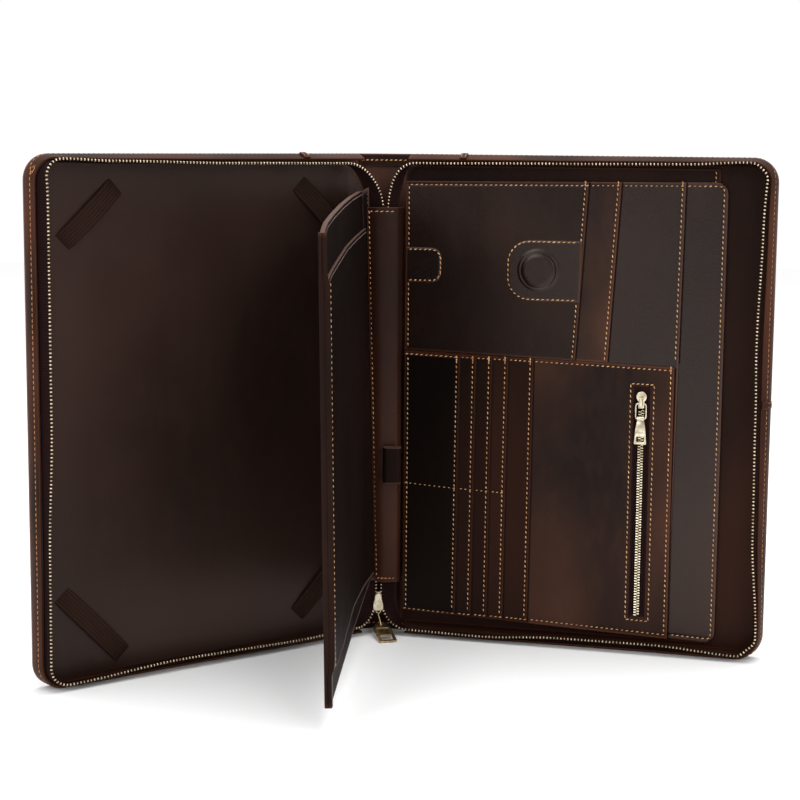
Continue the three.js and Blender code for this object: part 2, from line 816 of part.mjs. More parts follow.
function leafSheet(near, thickness, pocket) {
  const steps = 12;
  const sections = [];
  for (let i = 0; i <= steps; i += 1) {
    const t = i / steps;
    const drop = blendStraight(leafRows, t, pocket ? 'pocketTop' : 'top');
    const bottomRise = pocket ? blendStraight(leafRows, t, 'pocketRise') * leafDroop : 0;
    const low = leafHingeBottom - leafDroop * t + leafBelly * Math.sin(Math.PI * t) + bottomRise;
    const topStart = coverHeight - leafHingeTopDrop - (pocket ? leafPocketTopDrop : 0);
    const high = topStart - leafTopDroop * drop - (pocket ? leafPocketSag * t : 0);
    const puff = pocket ? leafPocketPuff * Math.sin(Math.PI * t) : 0;
    const at = (side, z) => {
      const share = (z - bandBottom) / (bandTop - bandBottom);
      const bandLeft = THREE.MathUtils.lerp(bandRows[0].leftX, bandRows[1].leftX, share);
      const hingeX = bandLeft - 2 * leafLeather - leafGap;
      const outerX = THREE.MathUtils.lerp(leafOuterBottomX, leafOuterTopX, share);
      const middle = puff * Math.sin(Math.PI * THREE.MathUtils.clamp((z - low) / (high - low), 0, 1));
      return new THREE.Vector3(
        THREE.MathUtils.lerp(hingeX, outerX, t) + side + middle,
        THREE.MathUtils.lerp(leafHingeY, -leafReach, t), z);
    };
    const rows = 6;
    const heights = Array.from({ length: rows + 1 }, (_, k) => THREE.MathUtils.lerp(low, high, k / rows));
    sections.push({
      outer: heights.map((z) => at(near, z)),
      inner: heights.map((z) => at(near + thickness, z)),
    });
  }
  return loft(sections);
}

function blendStraight(rows, at, column) {
  const next = rows.findIndex((row) => row.at >= at);
  if (next <= 0) return rows[0][column];
  const a = rows[next - 1];
  const b = rows[next];
  return THREE.MathUtils.mapLinear(at, a.at, b.at, a[column], b[column]);
}

add(portfolio, 'leaf_back', leafSheet(leafLeather - leafThickness, leafThickness, false), 'leather');
add(portfolio, 'leaf_pocket', leafSheet(leafLeather + clearance, leafLeather, true), 'leather');

// Pocket layers of the right cover, each one in front of the last.
const rearDepth = liningFront + clearance;
const organiserDepth = rearDepth + layerLeather + clearance;
const tallDepth = organiserDepth + organiserLeather + clearance;
const secondDepth = tallDepth + layerLeather + clearance;
const thirdDepth = secondDepth + layerLeather + clearance;
const padDepth = thirdDepth + layerLeather + clearance;

// Heights of the organiser's slanting edges at a distance from the spine
function slant(atLeft, atRight, u) {
  return THREE.MathUtils.mapLinear(u, layerLeft, organiserWidth, atLeft, atRight);
}
const panelTop = (u) => slant(panelTopLeft, panelTopRight, u);
const panelBottom = (u) => slant(panelBottomLeft, panelBottomRight, u);
const lowerTop = (u) => slant(lowerTopLeft, lowerTopRight, u);

// The layers' left edges line up beside the spine strip.
const layerStart = (depth) => layerLeft + (depth - rearDepth) * Math.tan(rightSwing);

function layer(name, width, widthTop, bottom, top, depth, thickness, corner, finish) {
  const start = layerStart(depth);
  const shape = outline([
    { u: start, z: bottom(start) },
    { u: width, z: bottom(width), r: corner },
    { u: widthTop, z: top(widthTop), r: corner },
    { u: start, z: top(start) },
  ]);
  add(rightCover, name, sheet(shape, depth, thickness), finish);
}

const rearTop = () => coverHeight - rearMargin;
const rearBottom = () => rearMargin;
layer('rear_pocket', rearPocketWidth, rearPocketWidth, rearBottom, rearTop, rearDepth, layerLeather,
  sharpCorner, 'lining');
layer('organiser_panel', organiserWidth, organiserWidth, panelBottom, panelTop,
  organiserDepth, organiserLeather,
  organiserCorner, 'lining');
layer('tall_pocket', tallPocketWidth, tallPocketWidth + tallPocketLean, panelBottom, panelTop, tallDepth,
  layerLeather, sharpCorner, 'lining');
layer('pen_pocket', penPocketWidth, penPocketWidth + upperLean, (u) => lowerTop(u) + clearance, panelTop,
  secondDepth, layerLeather, sharpCorner, 'leather');
layer('upper_pocket', upperPocketWidth, upperPocketWidth + upperLean, (u) => lowerTop(u) + clearance, panelTop,
  thirdDepth, layerLeather, sharpCorner, 'lining');

// The zip's window, or what fills it when inset
function windowShape(inset) {
  const half = windowWidth / 2 - inset;
  const r = windowCorner;
  return outline([
    { u: windowMiddle - half, z: windowBottom + inset, r },
    { u: windowMiddle - half, z: windowTop - inset, r },
    { u: windowMiddle + half, z: windowTop - inset, r },
    { u: windowMiddle + half, z: windowBottom + inset, r },
  ]);
}

// Lower panel with the window of its zip
function lowerPanel() {
  const start = layerStart(secondDepth);
  const shape = outline([
    { u: start, z: panelBottom(start) },
    { u: lowerPanelWidth, z: panelBottom(lowerPanelWidth) },
    { u: lowerPanelWidth, z: lowerTop(lowerPanelWidth) },
    { u: start, z: lowerTop(start) },
  ]);
  shape.holes.push(windowShape(0));
  return sheet(shape, secondDepth, layerLeather, 3);
}

add(rightCover, 'lower_pocket', lowerPanel(), 'leather');
cardSlotWidths.forEach((width, i) => {
  const depth = thirdDepth + i * (layerLeather + clearance);
  const shrink = cardStep * (i + 1);
  layer(`card_slot_${i + 1}`, width, width + cardLean,
    (u) => panelBottom(u) + shrink, (u) => lowerTop(u) - shrink,
    depth, layerLeather, sharpCorner, i < brownCards ? 'leather' : 'lining');
});

// Stitched pads over the magnets, and the round magnet cover
const padEnd = upperPocketWidth + upperLean * 0.45;
const smallPadStart = layerStart(padDepth);
const smallPad = outline([
  { u: smallPadStart, z: smallPadMiddle - smallPadHeight / 2 },
  { u: layerLeft + smallPadWidth, z: smallPadMiddle - smallPadHeight / 2, r: smallPadCorner },
  { u: layerLeft + smallPadWidth, z: smallPadMiddle + smallPadHeight / 2, r: smallPadCorner },
  { u: smallPadStart, z: smallPadMiddle + smallPadHeight / 2 },
]);
const largePad = outline([
  { u: largePadStart, z: largePadMiddle + largePadHeight / 2, r: largePadCorner },
  { u: largePadStart, z: largePadMiddle - largePadHeight / 2, r: largePadCorner },
  { u: padEnd - 1, z: largePadMiddle - largePadHeight / 2 },
  { u: padEnd, z: largePadMiddle + largePadHeight / 2 },
]);
add(rightCover, 'small_magnet_pad', sheet(smallPad, padDepth, padLeather), 'lining');
add(rightCover, 'large_magnet_pad', sheet(largePad, padDepth, padLeather), 'lining');
const magnetDepth = padDepth + padLeather + clearance;
const magnet = new THREE.LatheGeometry([
  new THREE.Vector2(0, 0),
  new THREE.Vector2(magnetRadius, 0),
  new THREE.Vector2(magnetRadius, magnetEdge),
  new THREE.Vector2(magnetRadius - magnetRim, magnetCrown),
  new THREE.Vector2(0, magnetDish),
], 24);
magnet.rotateX(Math.PI);
magnet.translate(magnetU, -magnetDepth, largePadMiddle);
add(rightCover, 'magnet_cover', magnet, 'lining');

// Zip of the lower pocket
function block(u, z, width, height, depth, thickness) {
  const geometry = new THREE.BoxGeometry(width, thickness, height);
  geometry.translate(u, -(depth + thickness / 2), z);
  return geometry;
}

add(rightCover, 'pocket_zip_tape', sheet(windowShape(clearance), secondDepth, pocketTape, 3), 'tape');
const pocketChainDepth = secondDepth + pocketTape + clearance;
const sliderEnd = pocketSliderTop - pocketSliderLength;
const chainLow = windowBottom + windowMargin;
const chainHigh = sliderEnd - clearance;
add(rightCover, 'pocket_zip_teeth',
  block(windowMiddle, (chainLow + chainHigh) / 2, pocketChainWidth, chainHigh - chainLow, pocketChainDepth,
    pocketChainThickness), 'brass');

const sliderFace = pocketChainDepth + pocketSliderThickness;
const linkDepth = sliderFace + linkGap;
const bridgeInner = linkDepth + linkWire + bridgeRoom;
const bridgeLow = sliderEnd + bridgeRise;
const bridgeHigh = pocketSliderTop - bridgeDrop;
const linkBarZ = bridgeLow + bridgeBar + linkPlay + linkWire / 2;

function pocketSlider() {
  const half = pocketSliderWidth / 2;
  const body = outline([
    { u: windowMiddle - half * 0.75, z: sliderEnd, r: half * 0.25 },
    { u: windowMiddle + half * 0.75, z: sliderEnd, r: half * 0.25 },
    { u: windowMiddle + half, z: pocketSliderTop, r: half * 0.85 },
    { u: windowMiddle - half, z: pocketSliderTop, r: half * 0.85 },
  ]);
  const arch = new THREE.Shape();
  const foot = -(sliderFace - clearance);
  const top = -(bridgeInner + bridgeBar);
  arch.moveTo(foot, bridgeLow);
  arch.lineTo(top + bridgeChamfer, bridgeLow);
  arch.lineTo(top, bridgeLow + bridgeChamfer);
  arch.lineTo(top, bridgeHigh - bridgeChamfer);
  arch.lineTo(top + bridgeChamfer, bridgeHigh);
  arch.lineTo(foot, bridgeHigh);
  arch.closePath();
  const hole = new THREE.Path();
  hole.moveTo(-sliderFace, bridgeLow + bridgeBar);
  hole.lineTo(-sliderFace, bridgeHigh - bridgeBar);
  hole.lineTo(-bridgeInner, bridgeHigh - bridgeBar);
  hole.lineTo(-bridgeInner, bridgeLow + bridgeBar);
  hole.closePath();
  arch.holes.push(hole);
  const loop = new THREE.ExtrudeGeometry(arch, { depth: bridgeWidth, bevelEnabled: false, curveSegments: 2 });
  // The arch is drawn in (y, z), then stood up and pushed across the slider.
  loop.applyMatrix4(new THREE.Matrix4().makeBasis(
    new THREE.Vector3(0, 1, 0), new THREE.Vector3(0, 0, 1), new THREE.Vector3(1, 0, 0)));
  loop.translate(windowMiddle - bridgeWidth / 2, 0, 0);
  const plate = sheet(body, pocketChainDepth, pocketSliderThickness, 4);
  return geometryOf(solid(plate).add(solid(loop)));
}

add(rightCover, 'pocket_slider', pocketSlider(), 'brass');

function pocketLink() {
  const top = linkBarZ + linkWire / 2;
  const bottom = top - linkLength;
  const ring = (inset, r) => outline([
    { u: windowMiddle - linkWidth / 2 + inset, z: bottom + inset, r },
    { u: windowMiddle + linkWidth / 2 - inset, z: bottom + inset, r },
    { u: windowMiddle + linkWidth / 2 - inset, z: top - inset, r },
    { u: windowMiddle - linkWidth / 2 + inset, z: top - inset, r },
  ]);
  const shape = ring(0, linkCorner);
  shape.holes.push(ring(linkWire, linkCorner / 4));
  return sheet(shape, linkDepth, linkWire, 3);
}

add(rightCover, 'pocket_link', pocketLink(), 'brass');

function pocketTab() {
  const barZ = linkBarZ + linkWire - linkLength;
  const axisDepth = linkDepth + linkWire / 2;
  const barrelWidth = linkWidth - 2 * (linkWire + linkPlay);
  const ring = new THREE.Shape();
  ring.absarc(0, 0, barrelRadius, 0, Math.PI * 2);
  const bore = new THREE.Path();
  bore.absarc(0, 0, barrelBore, 0, Math.PI * 2, true);
  ring.holes.push(bore);
  const barrel = new THREE.ExtrudeGeometry(ring, { depth: barrelWidth, bevelEnabled: false, curveSegments: 8 });
  barrel.rotateY(Math.PI / 2);
  barrel.translate(windowMiddle - barrelWidth / 2, -axisDepth, barZ);
  const top = barZ - barrelBore - clearance;
  const bottom = barZ - tabLength;
  const plateShape = outline([
    { u: windowMiddle - tabBottomWidth / 2, z: bottom, r: tabThickness / 2 },
    { u: windowMiddle + tabBottomWidth / 2, z: bottom, r: tabThickness / 2 },
    { u: windowMiddle + barrelWidth / 2, z: top },
    { u: windowMiddle - barrelWidth / 2, z: top },
  ]);
  const slotLow = bottom + tabSlotMargin;
  plateShape.holes.push(outline([
    { u: windowMiddle - tabSlotWidth / 2, z: slotLow, r: sharpCorner },
    { u: windowMiddle - tabSlotWidth / 2, z: slotLow + tabSlotHeight, r: sharpCorner },
    { u: windowMiddle + tabSlotWidth / 2, z: slotLow + tabSlotHeight, r: sharpCorner },
    { u: windowMiddle + tabSlotWidth / 2, z: slotLow, r: sharpCorner },
  ]));
  const plate = sheet(plateShape, axisDepth - tabThickness / 2, tabThickness, 2);
  const shoulder = sheet(outline([
    { u: windowMiddle - tabTopWidth / 2, z: barZ - tabShoulder },
    { u: windowMiddle + tabTopWidth / 2, z: barZ - tabShoulder },
    { u: windowMiddle + barrelWidth / 2, z: top },
    { u: windowMiddle - barrelWidth / 2, z: top },
  ]), axisDepth - tabThickness / 2 - tabShoulderStep, tabThickness + 2 * tabShoulderStep, 2);
  return geometryOf(solid(barrel).add(solid(plate)).add(solid(shoulder)));
}

add(rightCover, 'pocket_tab', pocketTab(), 'brass');

// Main slider: two pear-shaped plates held by a post between the parting teeth, and an eye below.
const sliderY = chainY - sliderForward;
const sliderX = chainX(sliderBottom + sliderLength / 2);
const eyeMiddle = sliderBottom - eyeDrop;

function uprightPlate(shape, y, thickness) {
  const options = { depth: thickness, bevelEnabled: false, curveSegments: 6 };
  const geometry = new THREE.ExtrudeGeometry(shape, options);
  geometry.rotateX(Math.PI / 2);
  geometry.translate(0, y + thickness, 0);
  return geometry;
}

function pear() {
  const half = sliderWidth / 2;
  const neck = sliderNeck / 2;
  const top = sliderBottom + sliderLength;
  const round = sliderLength * 0.14;
  const waist = sliderBottom + sliderLength * 0.55;
  const shape = new THREE.Shape();
  const right = sliderX + half;
  const leftSide = sliderX - half;
  shape.moveTo(leftSide + round, sliderBottom);
  shape.lineTo(right - round, sliderBottom);
  shape.quadraticCurveTo(right, sliderBottom, right, sliderBottom + round);
  shape.bezierCurveTo(right, waist, sliderX + neck, waist, sliderX + neck, top - round);
  shape.quadraticCurveTo(sliderX + neck, top, sliderX, top);
  shape.quadraticCurveTo(sliderX - neck, top, sliderX - neck, top - round);
  shape.bezierCurveTo(sliderX - neck, waist, leftSide, waist, leftSide, sliderBottom + round);
  shape.quadraticCurveTo(leftSide, sliderBottom, leftSide + round, sliderBottom);
  return shape;
}

function mainSlider() {
  const frontInner = sliderY - sliderChannel / 2;
  const backInner = sliderY + sliderChannel / 2;
  const front = uprightPlate(pear(), frontInner - sliderPlate, sliderPlate);
  const back = uprightPlate(pear(), backInner, sliderPlate);
  const post = new THREE.BoxGeometry(postSize, sliderChannel + sliderPlate, postSize);
  post.translate(sliderX, sliderY, sliderBottom + postSize * 0.6);
  const eye = new THREE.Shape();
  const reach = eyeHole + eyeRim;
  const rootZ = sliderBottom + eyeRim / 2;
  eye.moveTo(sliderX - reach, rootZ);
  eye.lineTo(sliderX - reach, eyeMiddle);
  eye.absarc(sliderX, eyeMiddle, reach, Math.PI, Math.PI * 2);
  eye.lineTo(sliderX + reach, rootZ);
  eye.closePath();
  const hole = new THREE.Path();
  hole.absarc(sliderX, eyeMiddle, eyeHole, 0, Math.PI * 2, true);
  eye.holes.push(hole);
  const lug = uprightPlate(eye, backInner, sliderPlate);
  return geometryOf(solid(front).add(solid(back)).add(solid(post)).add(solid(lug)));
}

add(portfolio, 'main_slider', mainSlider(), 'brass');

// Main link: a ring in the (y, z) plane through the slider's eye and the pull's hole.
const eyeY = sliderY + sliderChannel / 2 + sliderPlate / 2;
const wireMiddle = mainLinkInner + mainLinkWire / 2;
const linkTop = new THREE.Vector2(eyeY, eyeMiddle - wireMiddle);
const pullHole = new THREE.Vector2(eyeY - pullForward, pullHoleHeight);
const pullRest = pullThickness / 2 + pullLift;
const pullReach = pullLength - pullRim;
const pullSlope = Math.asin((pullHole.y - pullRest) / pullReach);
const pullTop = pullHole.clone().add(
  new THREE.Vector2(Math.cos(pullSlope), Math.sin(pullSlope)).multiplyScalar(wireMiddle));

function mainLink() {
  const along = pullTop.clone().sub(linkTop);
  const angle = Math.atan2(along.y, along.x);
  const length = along.length();
  const stadium = (Kind, r) => {
    const path = new Kind();
    path.absarc(0, 0, r, Math.PI / 2, Math.PI * 1.5, false);
    path.absarc(length, 0, r, -Math.PI / 2, Math.PI / 2, false);
    path.closePath();
    return path;
  };
  const shape = stadium(THREE.Shape, mainLinkInner + mainLinkWire);
  shape.holes.push(stadium(THREE.Path, mainLinkInner));
  const ring = new THREE.ExtrudeGeometry(shape, { depth: mainLinkWire, bevelEnabled: false, curveSegments: 8 });
  ring.rotateZ(angle);
  ring.applyMatrix4(new THREE.Matrix4().makeBasis(
    new THREE.Vector3(0, 1, 0), new THREE.Vector3(0, 0, 1), new THREE.Vector3(1, 0, 0)));
  ring.translate(sliderX - mainLinkWire / 2, linkTop.x, linkTop.y);
  return ring;
}

add(portfolio, 'main_link', mainLink(), 'brass');

// Main pull: a plate with a hole for the link and a window, one end down on the ground.
function mainPull() {
  const half = pullWidth / 2;
  const end = -pullReach;
  const round = pullRim / 2;
  const shape = outline([
    { u: half * 0.5, z: pullEnd },
    { u: -half * 0.5, z: pullEnd },
    { u: -half, z: -pullShoulder },
    { u: -half, z: end, r: round },
    { u: half, z: end, r: round },
    { u: half, z: -pullShoulder },
  ]);
  const hole = new THREE.Path();
  hole.absarc(0, 0, pullBore, 0, Math.PI * 2, true);
  const side = half - pullRim;
  const slot = outline([
    { u: -side, z: end + pullRim + pullWindow, r: round },
    { u: side, z: end + pullRim + pullWindow, r: round },
    { u: side, z: end + pullRim, r: round },
    { u: -side, z: end + pullRim, r: round },
  ]);
  shape.holes.push(hole, slot);
  const options = { depth: pullThickness, bevelEnabled: false, curveSegments: 6 };
  const plate = new THREE.ExtrudeGeometry(shape, options);
  plate.translate(0, 0, -pullThickness / 2);
  return plate;
}

const pull = add(portfolio, 'main_pull', mainPull(), 'brass');
pull.position.set(sliderX, pullHole.x, pullHole.y);
pull.rotation.set(pullSlope, 0, pullTurn, 'ZXY');

// Overlap tabs across the edge strip
function seamTab(cover, u, z, ou, oz, lean) {
  const tu = -oz;
  const tz = ou;
  const depths = [0.25, 0.6, 1].map((t) => THREE.MathUtils.lerp(coverBack, stripDepth, t));
  const sections = [-0.5, 0.5].map((side) => {
    const station = { u: u + tu * side * seamTabWidth, z: z + tz * side * seamTabWidth, ou, oz };
    const base = (depth) => stripInset(lean, depth) - seamTabGap;
    return {
      outer: depths.map((depth) => onEdge(station, cover, base(depth) - seamTabThickness, depth)),
      inner: depths.map((depth) => onEdge(station, cover, base(depth), depth)),
    };
  });
  return loft(sections);
}

const leftSeamAt = 2 + cornerShare + (1 - cornerShare) * (coverWidth - coverCorner - leftOverlap)
  / (coverWidth - coverCorner - stripStart);
const rightSeamAt = 2 + cornerShare + (1 - cornerShare) * (coverWidth - coverCorner - rightOverlap)
  / (coverWidth - coverCorner - stripStart);
const sideSeamAt = 1 + cornerShare
  + (1 - 2 * cornerShare) * (sideSeamHeight - coverCorner) / (coverHeight - 2 * coverCorner);
add(leftCover, 'left_top_seam_tab',
  seamTab(left, leftOverlap, coverHeight, 0, 1, blend(leftEdge, leftSeamAt, 'lean') * stripDepth), 'edge');
add(rightCover, 'right_top_seam_tab',
  seamTab(right, rightOverlap, coverHeight, 0, 1, blend(rightEdge, rightSeamAt, 'lean') * stripDepth), 'edge');
add(rightCover, 'right_side_seam_tab',
  seamTab(right, coverWidth, sideSeamHeight, 1, 0, blend(rightEdge, sideSeamAt, 'lean') * stripDepth), 'edge');

// The origin is the middle of the ground that the portfolio covers.
portfolio.updateMatrixWorld(true);
const box = new THREE.Box3().setFromObject(portfolio);
const middle = box.getCenter(new THREE.Vector3());
const assembly = new THREE.Group();
portfolio.position.set(-middle.x, -middle.y, -box.min.z);
assembly.add(portfolio);
assembly.updateMatrixWorld(true);

export default assembly;
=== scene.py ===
# %% [markdown]
# A leather laptop portfolio stands open like a book. Two covers meet at a rounded spine, a zip runs round
# both of them, a stiff leaf points at the viewer, and the right cover carries an organiser of sewn pockets.
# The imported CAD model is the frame: it says where every piece is, and this script dresses it.

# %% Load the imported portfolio
import math
import random

import bpy
import numpy as np
from mathutils import Euler, Matrix, Vector


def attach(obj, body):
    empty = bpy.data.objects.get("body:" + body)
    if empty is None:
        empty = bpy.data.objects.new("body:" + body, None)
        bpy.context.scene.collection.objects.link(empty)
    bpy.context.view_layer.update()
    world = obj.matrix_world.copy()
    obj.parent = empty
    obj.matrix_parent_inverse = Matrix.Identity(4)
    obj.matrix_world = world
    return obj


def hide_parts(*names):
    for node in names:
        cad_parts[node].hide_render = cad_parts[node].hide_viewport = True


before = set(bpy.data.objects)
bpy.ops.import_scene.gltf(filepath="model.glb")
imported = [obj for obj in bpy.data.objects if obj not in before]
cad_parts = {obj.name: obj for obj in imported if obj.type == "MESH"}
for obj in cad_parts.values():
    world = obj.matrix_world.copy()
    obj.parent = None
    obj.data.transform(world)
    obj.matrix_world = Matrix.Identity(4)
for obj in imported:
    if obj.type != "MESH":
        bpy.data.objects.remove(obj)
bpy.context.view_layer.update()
print("nodes in the frame:", len(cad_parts))

# %% [markdown]
# The camera comes first. The photograph was taken with a long lens, a little above the portfolio and
# almost level, so the camera stands well back and looks slightly down. Its roll is under half a degree.

# %% Camera
CAMERA_PLACE = Vector((-0.008243, -1.238821, 0.364333))
CAMERA_TILT = math.radians(81.927)
CAMERA_ROLL = math.radians(0.467)


def clear_selection():
    bpy.ops.object.select_all(action="DESELECT")


clear_selection()
bpy.ops.object.camera_add()
camera = bpy.context.object
camera.name = "portfolio_camera"
turned = Euler((CAMERA_TILT, 0, 0)).to_matrix().to_4x4() @ Matrix.Rotation(CAMERA_ROLL, 4, "Z")
camera.matrix_world = Matrix.Translation(CAMERA_PLACE) @ turned
camera.data.lens = 84.53
camera.data.sensor_width = 36
bpy.context.scene.camera = camera
bpy.context.scene.view_settings.view_transform = "Standard"
print("camera stands", round(-CAMERA_PLACE.y, 2), "m in front")

# %% [markdown]
# Everything below is measured in millimetres on the portfolio itself. On a cover, u runs from the spine
# fold to the outer edge, n runs from the outer face inwards, and z runs up. One function turns such a
# place into the spine's own axes, and the last step before a mesh is finished turns it into metres.

# %% Places on the portfolio
MM = 0.001
SPINE_AT = Vector((-21.629, 119.787, 0))
SPINE_HALF = 15
COVER_WIDTH = 265
COVER_HEIGHT = 350
COVER_CORNER = 17
BODY = "portfolio"
PULL_BODY = "pocket_pull"
left = {"name": "left", "side": -1, "swing": math.radians(36.7)}
right = {"name": "right", "side": 1, "swing": math.radians(15.2)}


def spot(cover, u, n, z):
    c = math.cos(cover["swing"])
    s = math.sin(cover["swing"])
    return Vector((cover["side"] * (SPINE_HALF + u * c - n * s), -(u * s + n * c), z))


def inward(cover):
    return spot(cover, 0, 1, 0) - spot(cover, 0, 0, 0)


def outward_u(cover):
    return spot(cover, 1, 0, 0) - spot(cover, 0, 0, 0)


def mix(a, b, t):
    return a + (b - a) * t


def soft(t):
    t = min(1, max(0, t))
    return t * t * (3 - 2 * t)


print("outer edges at", spot(left, COVER_WIDTH, 0, 0).x, spot(right, COVER_WIDTH, 0, 0).x)

# %% [markdown]
# The stage is a plain pale floor under a white sky, as in a product studio. The sky gives the even soft
# light and is dimmer towards the viewer than at the sides, which keeps the leather dark. A big overhead
# panel lays a soft shadow towards the viewer, and two panels in front, left and right, light the leather.

# %% Floor, sky and soft lights
SKY_RANGE = {"From Min": -1.0, "From Max": -0.45, "To Min": 0.5, "To Max": 1.05}
FLOOR_SIZE = 8
FLOOR_LOOK = {"Base Color": (0.94, 0.94, 0.94, 1), "Roughness": 0.9, "Specular IOR Level": 0.1}
LIGHT_AIM = Vector((0, 0, 0.15))
SOFT_LIGHTS = (
    ("overhead_panel", (0.2, 0.0, 2.0), (1.8, 1.6), 28),
    ("left_key", (-1.3, -1.9, 1.15), (0.8, 1.2), 12),
    ("right_key", (0.95, -2.2, 1.15), (0.8, 1.2), 12),
)


def set_sockets(node, values):
    for socket, value in values.items():
        node.inputs[socket].default_value = value


world = bpy.data.worlds.new("studio_sky")
bpy.context.scene.world = world
world.use_nodes = True
sky_tree = world.node_tree
sky = sky_tree.nodes["Background"]
way_node = sky_tree.nodes.new("ShaderNodeTexCoord")
split_node = sky_tree.nodes.new("ShaderNodeSeparateXYZ")
shade_node = sky_tree.nodes.new("ShaderNodeMapRange")
shade_node.interpolation_type = "SMOOTHSTEP"
set_sockets(shade_node, SKY_RANGE)
sky_tree.links.new(way_node.outputs["Generated"], split_node.inputs["Vector"])
sky_tree.links.new(split_node.outputs["Y"], shade_node.inputs["Value"])
sky.inputs["Color"].default_value = (1, 1, 1, 1)
sky_tree.links.new(shade_node.outputs["Result"], sky.inputs["Strength"])

clear_selection()
bpy.ops.mesh.primitive_plane_add(size=FLOOR_SIZE)
floor = bpy.context.object
floor.name = "studio_floor"
floor_paint = bpy.data.materials.new("pale_floor")
floor_paint.use_nodes = True
set_sockets(floor_paint.node_tree.nodes["Principled BSDF"], FLOOR_LOOK)
floor.data.materials.append(floor_paint)


def soft_light(name, place, size, power):
    clear_selection()
    bpy.ops.object.light_add(type="AREA", location=place)
    lamp = bpy.context.object
    lamp.name = name
    lamp.data.shape = "RECTANGLE"
    lamp.data.size = size[0]
    lamp.data.size_y = size[1]
    lamp.data.energy = power
    lamp.rotation_euler = (LIGHT_AIM - Vector(place)).to_track_quat("-Z", "Y").to_euler()


for light in SOFT_LIGHTS:
    soft_light(*light)
print("stage is ready, with", len(SOFT_LIGHTS), "soft lights")

# %% [markdown]
# Every finish is a small tree of nodes on one shader. Leather is built from three layers: slow stains of
# colour, a pebbled grain that is only a bump, and wear along cut edges, which reads an attribute that each
# piece carries. Reading Object coordinates keeps the grain the same size on every piece.

# %% Helpers for the finishes
NOISE = "ShaderNodeTexNoise"
WARM_TINT = (1.0, 0.82, 0.76, 1)


def paint(colour):
    # The usual curve from a colour on a screen to linear light.
    values = []
    for value in colour:
        share = value / 255
        values.append(share / 12.92 if share <= 0.04045 else ((share + 0.055) / 1.055) ** 2.4)
    return (*values, 1)


def new_finish(name, metallic=0.0, sheen=0.0, gloss=0.3):
    material = bpy.data.materials.new(name)
    material.use_nodes = True
    tree = material.node_tree
    shader = tree.nodes["Principled BSDF"]
    look = {"Metallic": metallic, "Sheen Weight": sheen, "Specular IOR Level": gloss}
    set_sockets(shader, look)
    shader.inputs["Specular Tint"].default_value = WARM_TINT
    return material, tree, shader


def pattern(tree, kind, scale, source="Object", stretch=(1, 1, 1), detail=2.0, turn=(0, 0, 0)):
    where = tree.nodes.new("ShaderNodeTexCoord")
    mapping = tree.nodes.new("ShaderNodeMapping")
    mapping.inputs["Scale"].default_value = stretch
    mapping.inputs["Rotation"].default_value = turn
    tree.links.new(where.outputs[source], mapping.inputs["Vector"])
    texture = tree.nodes.new(kind)
    texture.inputs["Scale"].default_value = scale
    if "Detail" in texture.inputs:
        texture.inputs["Detail"].default_value = detail
    tree.links.new(mapping.outputs["Vector"], texture.inputs["Vector"])
    return texture


def ramp(tree, value, stops):
    node = tree.nodes.new("ShaderNodeValToRGB")
    spots = node.color_ramp.elements
    spots[0].position, spots[0].color = stops[0]
    spots[1].position, spots[1].color = stops[-1]
    for place, colour in stops[1:-1]:
        spots.new(place).color = colour
    tree.links.new(value, node.inputs["Fac"])
    return node.outputs["Color"]


def ranged(tree, value, low, high, start=0.0, end=1.0):
    node = tree.nodes.new("ShaderNodeMapRange")
    set_sockets(node, {"From Min": start, "From Max": end, "To Min": low, "To Max": high})
    tree.links.new(value, node.inputs["Value"])
    return node.outputs["Result"]


def blended(tree, share, first, second, way="MIX"):
    node = tree.nodes.new("ShaderNodeMix")
    node.data_type = "RGBA"
    node.blend_type = way
    for socket, given in (("Factor_Float", share), ("A_Color", first), ("B_Color", second)):
        target = next(i for i in node.inputs if i.identifier == socket)
        if isinstance(given, bpy.types.NodeSocket):
            tree.links.new(given, target)
        else:
            target.default_value = given
    return next(o for o in node.outputs if o.identifier == "Result_Color")


def bumped(tree, height, distance, strength=1.0, under=None):
    node = tree.nodes.new("ShaderNodeBump")
    set_sockets(node, {"Distance": distance, "Strength": strength})
    tree.links.new(height, node.inputs["Height"])
    if under is not None:
        tree.links.new(under, node.inputs["Normal"])
    return node.outputs["Normal"]


def attribute(tree, name):
    node = tree.nodes.new("ShaderNodeAttribute")
    node.attribute_name = name
    return node.outputs["Fac"]


# %% [markdown]
# The leather is an oiled pull-up hide: dark, smooth and a little waxy, paler where it is rubbed and
# reddish along its cut edges. One function makes every tone of it from a dark, a middle, a pale and an
# edge colour, the range of its roughness, and its gloss.

# %% Leather finishes
GRAIN_SCALE = 1050.0
GRAIN_DEPTH = 0.00006
FINE_SCALE = 2600.0
WAVE_DEPTH = 0.0009
MOST_RUBBED = 0.2
MOST_WORN = 0.85


